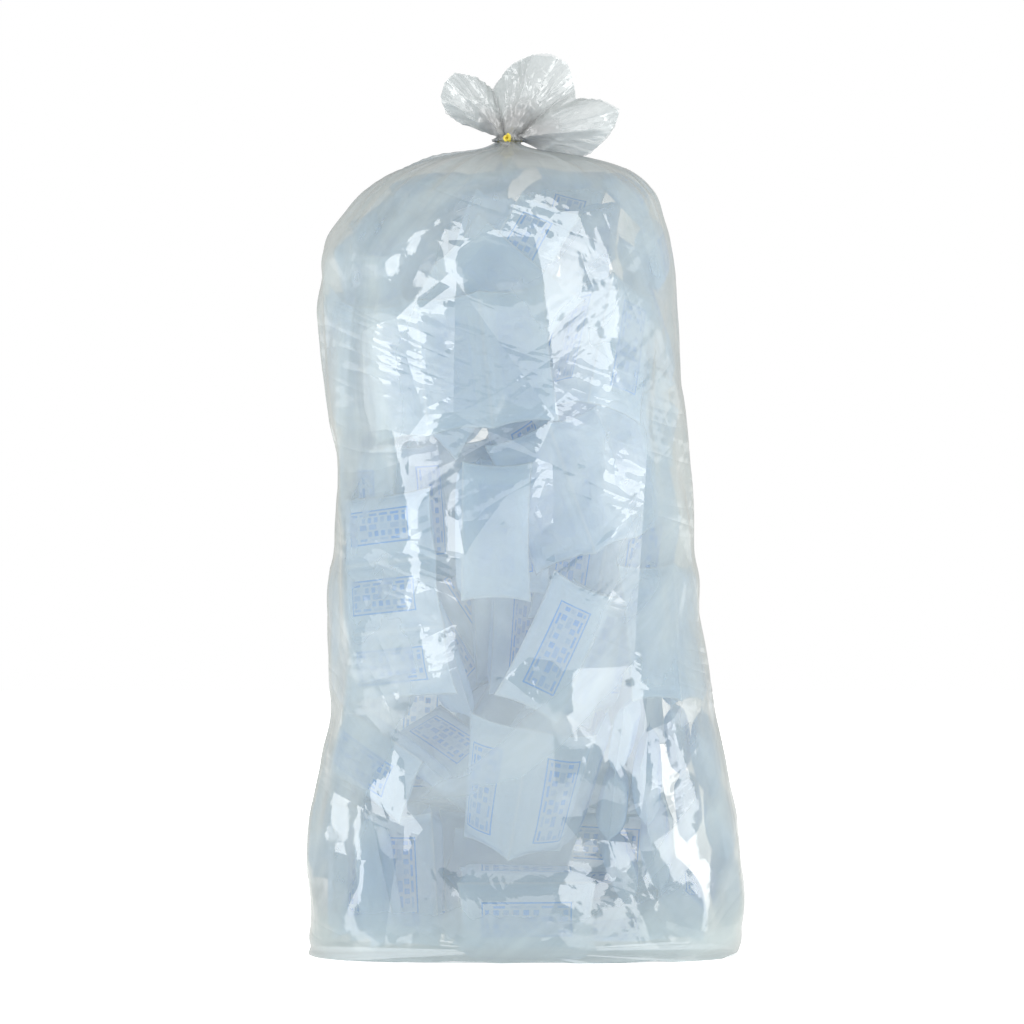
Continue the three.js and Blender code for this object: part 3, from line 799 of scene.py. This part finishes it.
# %% Gather the neck and let the ruffle droop
NECK_STEPS = 10
DROOP_PASSES = 40
KEEP_SHAPE = 0.04


def neck_grid():
    """Rings through the tie and up to the lip, then folded out and down over the tie like a cuff."""
    rise = np.linspace(0, 1, NECK_STEPS + 1)[1:, None]
    places = (0, 0.2, 0.4, 0.6, 0.8, 1)
    out = np.interp(rise, places, (0, 0, 2, 6, 7, 8)) * MM
    up = np.interp(rise, places, (0, 5, 9, 7, 3.5, 6.5)) * MM
    angle = row_angles[-1]
    waves = (0.03 + 3 * out) * (np.sin(31 * angle) + 0.6 * np.sin(17 * angle))
    radius = (body_rings[-1, 1] + out) * (1.03 + waves)
    z = NECK_Z + up
    return np.stack([LIP_X + radius * np.cos(angle), radius * np.sin(angle), z + 0 * radius], -1)


ruffle = np.concatenate([neck_grid()[-1:], ruffle_grid()]).astype(np.float32)
open_share = np.linspace(0, 1, len(ruffle), dtype=np.float32)[:, None]
no_spare = np.full(ruffle.shape[:2], 0.02)
edges = film_edges(ruffle, no_spare, no_spare, no_spare + 0.06, 0.3)
edges[0] = (edges[0][0] * (1 + 0.12 * open_share), *edges[0][1:])
held = ruffle[:2].copy()
before = ruffle.copy()
shape = ruffle.copy()
for _ in range(DROOP_PASSES):
    speed = ruffle - before
    before = ruffle.copy()
    ruffle += 0.8 * speed
    ruffle[..., 2] -= 0.08 * MM
    ruffle += KEEP_SHAPE * (shape - ruffle)
    for _ in range(3):
        for edge in edges:
            to_length(ruffle, *edge)
        ruffle[:2] = held
print(f"the ruffle is {np.ptp(ruffle[..., 0]) / MM:.0f} mm across, {ruffle[..., 2].max():.3f} m up")

# %% [markdown]
# Foot, body, neck and ruffle are joined into one surface, open only at the ruffle's rim, because
# the real film is too thin to show its thickness. An attribute called "gathered" says where it lies
# in several layers, for its material to read.


# %% Number the faces of grids and caps
def grid_quads(rows_count, columns_count, loop=False):
    """Quads of a grid that joins up round its columns, and along its rows where it is a loop."""
    i, j = np.meshgrid(np.arange(rows_count - (not loop)), np.arange(columns_count), indexing="ij")
    low, high, on = i * columns_count, (i + 1) % rows_count * columns_count, (j + 1) % columns_count
    return np.stack([low + j, low + on, high + on, high + j], -1).reshape(-1, 4)


def cap_quads(ring):
    """Quads straight across a ring of an even number of points, from each to the one opposite."""
    one, other = ring[: len(ring) // 2], ring[::-1][: len(ring) // 2]
    return np.stack([other[:-1], other[1:], one[1:], one[:-1]], -1)


# %% Make the film one piece
GATHERED_HEIGHTS = (0.001, 0.006, 0.03, NECK_Z - 0.06, NECK_Z - 0.01, NECK_Z)
GATHERED_VALUES = (0, 0.35, 0, 0, 0.4, 1)

bag_grid = np.concatenate([foot_film, body_film, neck_grid()[:-1], ruffle])
bag_quads = np.concatenate([cap_quads(np.arange(COLUMNS)), grid_quads(len(bag_grid), COLUMNS)])
bag = build_mesh("film_bag", bag_grid.reshape(-1, 3), bag_quads)
gathered_share = np.interp(bag_grid[:, 0, 2], GATHERED_HEIGHTS, GATHERED_VALUES)
layers = bag.data.attributes.new("gathered", "FLOAT", "POINT")
layers.data.foreach_set("value", np.repeat(gathered_share, COLUMNS).astype(np.float32))
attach(bag, "root")
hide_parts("bag")
print(f"film of {len(bag.data.polygons)} quads")

# %% [markdown]
# ## Twist the tie
#
# The tie is a coated wire: a ring round the neck, and two ends twisted round each other at the
# front. A wire could be a bevelled curve; as rings of points across a path it has even faces.

# %% Bend the wires
WIRE = 1.4 * MM
WIRE_SIDES = 12
TIE_Z = NECK_Z + 5.2 * MM


def tube(path, radius):
    """Rings round a path, each at a right angle to it, as a (path, side, xyz) grid."""
    ahead = unit(np.gradient(path, axis=0))
    sideways = unit(np.cross(ahead, [0.05, 0, 1]))
    upwards = np.cross(ahead, sideways)
    turn = np.linspace(0, 2 * np.pi, WIRE_SIDES, endpoint=False)[:, None]
    return path[:, None] + radius * (sideways[:, None] * np.cos(turn) + upwards[:, None] * np.sin(turn))


TWIST_LENGTH = 18 * MM
TWIST_TURNS = 2.75
TWIST_POINTS = 60


def twisted_end(phase):
    """One of two ends: a helix that runs forward and opens at its tip."""
    along_it = np.linspace(0, 1, TWIST_POINTS)
    turn = 2 * np.pi * TWIST_TURNS * along_it + phase
    away = 1.5 * MM + 3.5 * MM * np.clip((along_it - 0.65) / 0.35, 0, 1) ** 1.5
    start = np.array([LIP_X, -NECK_RADIUS - WIRE, TIE_Z])
    run = along_it[:, None] * np.array([-4 * MM, -TWIST_LENGTH, 2.4 * MM])
    return start + run + np.stack([away * np.cos(turn), 0 * turn, away * np.sin(turn)], -1)


ring_turn = np.linspace(0, 2 * np.pi, 96, endpoint=False)
ring_out = np.stack([np.cos(ring_turn), np.sin(ring_turn), 0 * ring_turn], -1)[:, None]
ring_middle = ring_out * (NECK_RADIUS + 1.2 * WIRE) + [LIP_X, 0, TIE_Z]
section = np.linspace(0, 2 * np.pi, WIRE_SIDES, endpoint=False)[:, None]
ring = ring_middle + WIRE * (ring_out * np.cos(section) - [0, 0, 1] * np.sin(section))
thickness = np.append(np.full(TWIST_POINTS - 1, 1.15 * WIRE), 0.5 * WIRE)[:, None, None]
wires = [ring, *(tube(twisted_end(phase), thickness) for phase in (0, np.pi))]
print(f"a ring {2 * NECK_RADIUS / MM:.0f} mm across inside and two ends of {TWIST_LENGTH / MM:.0f} mm")

# %% Make the tie one piece
tie_quads, start = [], 0
for wire in wires:
    rows_count, sides = wire.shape[:2]
    ends = np.arange(sides), np.arange(sides)[::-1] + (rows_count - 1) * sides
    caps = [] if wire is ring else [cap_quads(end) for end in ends]
    tie_quads += [part + start for part in (grid_quads(rows_count, sides, wire is ring), *caps)]
    start += rows_count * sides
tie_quads = np.concatenate(tie_quads)
tie = build_mesh("wire_tie", np.concatenate([wire.reshape(-1, 3) for wire in wires]), tie_quads)
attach(tie, "root")
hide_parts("tie")
print(f"tie of {len(tie_quads)} quads at {TIE_Z:.3f} m")

# %% [markdown]
# ## Materials
#
# A few helpers add a node and link its inputs in one line, so that each finish below reads as a
# short recipe. They return the socket that the next node needs.


# %% Helpers for shader nodes
def new_material(name):
    """A material without nodes, and its node tree."""
    material = bpy.data.materials.new(name)
    material.use_nodes = True
    material.node_tree.nodes.clear()
    return material, material.node_tree


def add(tree, kind, *values, **named):
    """A node of that kind; each input, by order or by name, is set to a value or linked to a socket."""
    node = tree.nodes.new("ShaderNode" + kind)
    pairs = list(zip(node.inputs, values)) + [(node.inputs[k.replace("_", " ")], v) for k, v in named.items()]
    for socket, value in pairs:
        if isinstance(value, bpy.types.NodeSocket):
            tree.links.new(value, socket)
        elif value is not None:
            socket.default_value = value
    return node


def maths(tree, operation, *values):
    """The result of one operation on the values, in their order."""
    node = add(tree, "Math", *values)
    node.operation = operation
    return node.outputs["Value"]


def ranged(tree, value, low, high, to_low, to_high):
    """to_low where the value is low, to_high where it is high, and in proportion between."""
    node = add(tree, "MapRange", value, low, high, to_low, to_high)
    return node.outputs["Result"]


def noise(tree, place, scale, detail, distortion=0.0):
    """Cloudy values between 0 and 1."""
    node = add(tree, "TexNoise", Vector=place, Scale=scale, Detail=detail, Distortion=distortion)
    return node.outputs["Fac"]


def object_place(tree):
    """The place in metres, measured from the middle of the bag's foot."""
    return add(tree, "TexCoord").outputs["Object"]


def edge_on(tree, blend_share):
    """0 where the surface faces the eye, 1 where it is seen edge on."""
    return add(tree, "LayerWeight", Blend=blend_share).outputs["Facing"]


def blend(tree, factor, one, other):
    """A colour between one and other."""
    node = tree.nodes.new("ShaderNodeMix")
    node.data_type = "RGBA"
    for index, value in ((0, factor), (6, one), (7, other)):
        if isinstance(value, bpy.types.NodeSocket):
            tree.links.new(value, node.inputs[index])
        else:
            node.inputs[index].default_value = value
    return node.outputs[2]


# %% [markdown]
# Clear film shows as a faint veil with hard white highlights. Its normal carries what is too fine
# for the mesh: bundles of creases where it is pulled tight, and flat facets that break a highlight
# into straight-edged patches. A facet is a Voronoi cell, and the cell's colour gives its tilt.

# %% Wrinkle the film's normal
CREASE_BUNDLES = (((0.1, 0.35, 0.2), 0.020), ((0.1, -0.6, 0.4), 0.026), ((0.2, 1.2, 0.3), 0.024))
CREASE_LENGTH = 0.25
CREASE_DEPTH = 0.0045


def stretched(tree, spin, sizes):
    """Object coordinates turned by spin and measured in units of those sizes."""
    turned = add(tree, "Mapping", Vector=object_place(tree), Rotation=spin, Scale=sizes)
    turned.vector_type = "TEXTURE"
    return turned.outputs["Vector"]


def wrinkles(tree):
    """The normal with bundles of fine parallel creases, here and there and in three directions."""
    height = 0.0
    for spin, fine in CREASE_BUNDLES:
        place = stretched(tree, spin, (CREASE_LENGTH, CREASE_LENGTH, fine))
        folds = maths(tree, "ABSOLUTE", maths(tree, "SUBTRACT", noise(tree, place, 1, 1), 0.5))
        here = ranged(tree, noise(tree, place, 5 * fine, 0), 0.46, 0.6, 0, 1)
        height = maths(tree, "MULTIPLY_ADD", folds, here, height)
    return add(tree, "Bump", Strength=1.0, Distance=CREASE_DEPTH, Height=height).outputs["Normal"]


# %% Tilt it facet by facet
FACETS = ((7.5, 0.75, 0.6, 0), (19, 1.2, 0.16, 0), (70, 1, 0.04, 0.45))


def facet_normal(tree, layers, total):
    """The normal tilted by a random amount that is the same all over each flat facet.

    Each row of FACETS is a number of cells in a metre, their squash, and their tilt on single film
    and on gathered film.
    """
    place = object_place(tree)
    for scale, squash, tilt, on_gathered in FACETS:
        turned = add(tree, "Mapping", Vector=place, Scale=(1, 1, squash), Rotation=(0.02 * scale, 0.4, 0.3))
        cells = add(tree, "TexVoronoi", Vector=turned.outputs["Vector"], Scale=scale).outputs["Color"]
        lean = add(tree, "VectorMath", cells, (0.5, 0.5, 0.5))
        lean.operation = "SUBTRACT"
        size = ranged(tree, layers, 0, 1, tilt, on_gathered)
        tilted = add(tree, "VectorMath", lean.outputs["Vector"], None, total)
        tilted.operation = "MULTIPLY_ADD"
        tree.links.new(size, tilted.inputs[1])
        total = tilted.outputs["Vector"]
    facing = add(tree, "VectorMath", total)
    facing.operation = "NORMALIZE"
    return facing.outputs["Vector"]


# %% [markdown]
# The veil is a see-through surface, denser where the film is seen edge on, in milky streaks, at the
# foot where it lies double, and where it is gathered. A glass shader would bend the light, which
# film this thin doesn't do. A weak mirror mixed over the veil gives the highlights, so they stay
# bright where the veil is thin. It fades on gathered film and near the floor.

# %% Mix the clear film
VEIL_COLOUR = (0.48, 0.575, 0.59, 1)
# EDGE_SHADE_COLOUR is painted shade: a greyer veil where the film is seen edge on, which holds down the light
# on the bag's sides.
EDGE_SHADE_COLOUR = (0.40, 0.415, 0.38, 1)
GATHERED_COLOUR = (0.37, 0.38, 0.38, 1)
# RIM_SHADE_COLOUR is painted shade: the ruffle turns a darker grey from just above the tie up to its rim.
RIM_SHADE_COLOUR = (0.22, 0.22, 0.21, 1)
VEIL_DENSITY = (0.32, 0.95)
GATHERED_DENSITY = (0.62, 0.85)
FOOT_HEIGHT, FOOT_DENSITY = 0.09, 0.4
MIRROR = (0.095, 0.14)


def milkiness(tree):
    """Soft slanting streaks, from -0.15 to 0.15, where the film is more or less cloudy."""
    streaks = noise(tree, stretched(tree, (0.2, 0.7, 0.3), (0.14, 0.14, 0.4)), 1, 4, 1.0)
    return ranged(tree, streaks, 0.3, 0.7, -0.15, 0.15)


def film_material():
    """Veil × (1 - mirror) + gloss × mirror, with the veil's alpha from facing, layers and height."""
    material, tree = new_material("clear_film")
    layers = add(tree, "Attribute")
    layers.attribute_name = "gathered"
    layers = layers.outputs["Fac"]
    height = add(tree, "SeparateXYZ", object_place(tree)).outputs["Z"]
    low = ranged(tree, height, FOOT_HEIGHT, 0, 0, FOOT_DENSITY)
    turned_away = edge_on(tree, 0.35)
    density = maths(tree, "ADD", ranged(tree, turned_away, 0, 1, *VEIL_DENSITY), milkiness(tree))
    density = maths(tree, "MINIMUM", maths(tree, "ADD", density, low), VEIL_DENSITY[1])
    density = ranged(tree, layers, 0, 1, density, ranged(tree, turned_away, 0, 1, *GATHERED_DENSITY))
    # Painted shade: the ruffle's colour darkens from 1 cm to 7 cm above the neck and stays dark up to its
    # rim.
    rim_shade_share = ranged(tree, height, NECK_Z + 0.01, NECK_Z + 0.07, 0, 1)
    ruffle_colour = blend(tree, rim_shade_share, GATHERED_COLOUR, RIM_SHADE_COLOUR)
    # Painted shade: the veil's colour turns greyer where the film is seen edge on.
    colour = blend(tree, layers, blend(tree, turned_away, VEIL_COLOUR, EDGE_SHADE_COLOUR), ruffle_colour)
    normal = wrinkles(tree)
    veil = add(tree, "BsdfPrincipled", Base_Color=colour, Roughness=0.3, Alpha=density, Normal=normal)
    veil.inputs["Specular IOR Level"].default_value = 0.2
    facets_normal = facet_normal(tree, layers, normal)
    gloss = add(tree, "BsdfAnisotropic", Color=(1, 1, 1, 1), Roughness=0.07, Normal=facets_normal)
    mirror = ranged(tree, maths(tree, "POWER", edge_on(tree, 0.3), 3.0), 0, 1, *MIRROR)
    mirror = maths(tree, "MULTIPLY", mirror, maths(tree, "MULTIPLY_ADD", low, -2.2, 1.0))
    mirror = maths(tree, "MULTIPLY", mirror, maths(tree, "MULTIPLY_ADD", layers, -0.4, 1.0))
    sheet = add(tree, "MixShader", mirror, veil.outputs["BSDF"], gloss.outputs["BSDF"])
    add(tree, "OutputMaterial", Surface=sheet.outputs["Shader"])
    return material


bag.data.materials.append(film_material())
print(f"clear film of {len(bag.data.materials[0].node_tree.nodes)} nodes")

# %% [markdown]
# One side of every pillow carries a printed panel, drawn from its own UV map so that it follows the
# film: an outline, and rows of short bars on a pale field in place of lettering. The sealed seams
# are two films pressed together, so they are paler and less see-through.

# %% Print the pillows
INK = (0.03, 0.25, 0.66, 1)
PANEL_START = (0.17, 0.24)
PANEL_SIZE = (0.66, 0.50)
OUTLINE_WIDTH, BARS_FROM = 2.0, 5.0
FIELD = 0.22
BARS = {"Mortar": (0, 0, 0, 1), "Mortar Size": 0.028, "Mortar Smooth": 0.4, "Bias": -0.1,
        "Brick Width": 0.11, "Row Height": 0.2}


def printed_panel(tree):
    """How much ink lies at each place of the pillow's own UV map."""
    uv = add(tree, "SeparateXYZ", add(tree, "UVMap").outputs["UV"])
    place, margins = [], []
    for axis, start, size, length in zip("XY", PANEL_START, PANEL_SIZE, (LENGTH, PITCH)):
        p = maths(tree, "DIVIDE", maths(tree, "SUBTRACT", uv.outputs[axis], start), size)
        place.append(p)
        off_centre = maths(tree, "ABSOLUTE", maths(tree, "SUBTRACT", p, 0.5))
        margins.append(maths(tree, "MULTIPLY", maths(tree, "SUBTRACT", 0.5, off_centre), size * length / MM))
    margin = maths(tree, "MINIMUM", *margins)
    inside = maths(tree, "GREATER_THAN", margin, 0.0)
    outline = maths(tree, "MULTIPLY", inside, maths(tree, "LESS_THAN", margin, OUTLINE_WIDTH))
    vector = add(tree, "CombineXYZ", *place).outputs["Vector"]
    bars = add(tree, "TexBrick", Vector=vector, Color1=(1, 1, 1, 1), Color2=(0.1, 0.1, 0.1, 1), Scale=1.0)
    for name, value in BARS.items():
        bars.inputs[name].default_value = value
    bars.offset, bars.squash = 0.37, 1.6
    rows = maths(tree, "MULTIPLY", bars.outputs["Color"], maths(tree, "GREATER_THAN", margin, BARS_FROM))
    field = maths(tree, "MULTIPLY", inside, FIELD)
    return maths(tree, "MAXIMUM", maths(tree, "MAXIMUM", outline, rows), field)


def sealed_margin(tree):
    """1 along the sealed seams and ends of every pillow, 0 inside."""
    uv = add(tree, "SeparateXYZ", add(tree, "UVMap").outputs["UV"])
    margins = []
    for axis, length in (("X", LENGTH), ("Y", PITCH)):
        p = maths(tree, "PINGPONG", uv.outputs[axis], 0.5)
        margins.append(maths(tree, "MULTIPLY", p, length / MM))
    return ranged(tree, maths(tree, "MINIMUM", *margins), 3.2, 1.4, 0, 1)


# %% [markdown]
# The pillows' film is bluer and cloudier than the bag's: a see-through skin with a translucent
# glow, so light from behind brightens it. Half of the light that it would shadow goes on through,
# or 58 strips in a pile would shade each other to grey.

# %% Mix the pillow film
PALE_TONES = (0.52, 0.71, 0.83, 1), (0.70, 0.82, 0.88, 1)
# EDGE_SHADE_TONE is painted shade: a deeper blue where a pillow is seen edge on, so that it looks rounded.
EDGE_SHADE_TONE = (0.42, 0.60, 0.80, 1)
SEAM_TONE, SEAM_SHARE = (0.80, 0.88, 0.90, 1), 0.4
PILLOW_DENSITY = (0.45, 0.9)
GLOW_SHARE = 0.3
THROUGH_SHARE = 0.5


def pillow_material():
    """Skin × 0.7 + glow × 0.3, with the skin's alpha the most of facing, ink and seam."""
    material, tree = new_material("pillow_film")
    ink = printed_panel(tree)
    seam = maths(tree, "MULTIPLY", sealed_margin(tree), SEAM_SHARE)
    place = object_place(tree)
    turned_away = edge_on(tree, 0.4)
    # Painted shade: the tone turns a deeper blue where a pillow is seen edge on.
    tone = blend(tree, turned_away, blend(tree, noise(tree, place, 5, 2), *PALE_TONES), EDGE_SHADE_TONE)
    colour = blend(tree, ink, blend(tree, seam, tone, SEAM_TONE), INK)
    crumple = noise(tree, place, 40, 2, 1.5)
    normal = add(tree, "Bump", Strength=0.35, Distance=0.01, Height=crumple).outputs["Normal"]
    density = ranged(tree, turned_away, 0, 1, *PILLOW_DENSITY)
    density = maths(tree, "MAXIMUM", density, maths(tree, "MAXIMUM", ink, seam))
    skin = add(tree, "BsdfPrincipled", Base_Color=colour, Roughness=0.25, Alpha=density, Normal=normal)
    glow = add(tree, "BsdfTranslucent", Color=colour, Normal=normal)
    film = add(tree, "MixShader", GLOW_SHARE, skin.outputs["BSDF"], glow.outputs["BSDF"])
    through = maths(tree, "MULTIPLY", add(tree, "LightPath").outputs["Is Shadow Ray"], THROUGH_SHARE)
    clear = add(tree, "BsdfTransparent").outputs["BSDF"]
    shade = add(tree, "MixShader", through, film.outputs["Shader"], clear)
    add(tree, "OutputMaterial", Surface=shade.outputs["Shader"])
    return material


pillow_film = pillow_material()
for piece in strips:
    piece.data.materials.append(pillow_film)
print(f"pillow film of {len(pillow_film.node_tree.nodes)} nodes on {len(strips)} strips")

# %% [markdown]
# The tie's coating is satin plastic, bright yellow where it is clean and darker where it is rubbed.


# %% Coat the tie
def tie_material():
    """One satin plastic, its colour a blend of rubbed and clean by a cloudy noise."""
    material, tree = new_material("tie_coating")
    rubbed = noise(tree, object_place(tree), 300, 2)
    colour = blend(tree, rubbed, (0.66, 0.45, 0.03, 1), (0.92, 0.82, 0.12, 1))
    coat = add(tree, "BsdfPrincipled", Base_Color=colour, Roughness=0.35)
    add(tree, "OutputMaterial", Surface=coat.outputs["BSDF"])
    return material


tie.data.materials.append(tie_material())
print(f"tie coating of {len(tie.data.materials[0].node_tree.nodes)} nodes")

# %% [markdown]
# ## Stage, light and camera
#
# The bag stands on a wide white floor in a white room. The floor glows, more so away from the bag,
# so that it meets the room without a line and lights the bag's foot.

# %% Set the stage
FLOOR_HALF = 9.0
FLOOR_GLOW = (0.45, 0.85)
corner_signs = np.array([(-1, -1, 0), (1, -1, 0), (1, 1, 0), (-1, 1, 0)])
floor = build_mesh("studio_floor", corner_signs * FLOOR_HALF, np.array([[0, 1, 2, 3]]))
floor_material, tree = new_material("pale_floor")
paint = add(tree, "BsdfPrincipled", Base_Color=(0.93, 0.93, 0.93, 1), Roughness=0.8)
paint.inputs["Specular IOR Level"].default_value = 0.1
paint.inputs["Emission Color"].default_value = (1, 1, 1, 1)
away = add(tree, "VectorMath", object_place(tree))
away.operation = "LENGTH"
tree.links.new(ranged(tree, away.outputs["Value"], 0.3, 1.6, *FLOOR_GLOW), paint.inputs["Emission Strength"])
add(tree, "OutputMaterial", Surface=paint.outputs["BSDF"])
floor.data.materials.append(floor_material)
print(f"floor {2 * FLOOR_HALF:.0f} m wide")

# %% [markdown]
# Two tall softboxes at the front left and right give the columns of white patches down both sides
# of the film. A large, weak one hangs above. The room is dimmer for the bag than for the eye, so
# the highlights stand out.

# %% Light it
ROOM_LIGHT = 0.62


def stand(thing, place, target):
    """Puts a lamp or camera in its place, turned towards the target."""
    thing.location = place
    thing.rotation_euler = (mathutils.Vector(target) - thing.location).to_track_quat("-Z", "Y").to_euler()
    bpy.context.scene.collection.objects.link(thing)


def softbox(name, azimuth, distance, height, size, power):
    """A rectangular light that faces the bag; azimuth is 0 in front and turns to the right."""
    light = bpy.data.lights.new(name, "AREA")
    light.shape = "RECTANGLE"
    light.size, light.size_y = size
    light.energy = power
    turn = np.radians(azimuth)
    place = (np.sin(turn) * distance, -np.cos(turn) * distance, height)
    stand(bpy.data.objects.new(name, light), place, (0, 0, 0.6))


softbox("left_softbox", -55, 2.2, 1.25, (1.0, 2.5), 25)
softbox("right_softbox", 62, 2.2, 1.25, (1.2, 2.5), 28)
softbox("top_softbox", 0, 1.6, 3.0, (3.4, 2.4), 12)

world = bpy.data.worlds.new("studio")
bpy.context.scene.world = world
world.use_nodes = True
background = world.node_tree.nodes["Background"]
background.inputs["Color"].default_value = (1, 1, 1, 1)
seen = add(world.node_tree, "LightPath").outputs["Is Camera Ray"]
strength = maths(world.node_tree, "MULTIPLY_ADD", seen, 1 - ROOM_LIGHT, ROOM_LIGHT)
world.node_tree.links.new(strength, background.inputs["Strength"])
print("three softboxes and a white room")

# %% [markdown]
# The camera stands far off with a long lens, level with the bag's middle, so the bottom shows as a
# straight line. The lens follows from the height of the view.

# %% Place the camera
AIM = mathutils.Vector((-0.016, 0, 0.598))
DISTANCE = 8.0
ELEVATION = np.radians(0.5)
VIEW_HEIGHT = 1.393

lens = bpy.data.cameras.new("camera")
lens.lens = lens.sensor_width * DISTANCE / VIEW_HEIGHT
lens.clip_end = 60
camera = bpy.data.objects.new("camera", lens)
stand(camera, AIM + mathutils.Vector((0, -np.cos(ELEVATION), np.sin(ELEVATION))) * DISTANCE, AIM)
scene = bpy.context.scene
scene.camera = camera
scene.view_settings.view_transform = "Standard"
scene.cycles.transparent_max_bounces = 24
print(f"camera {DISTANCE:.0f} m away with a {lens.lens:.0f} mm lens")
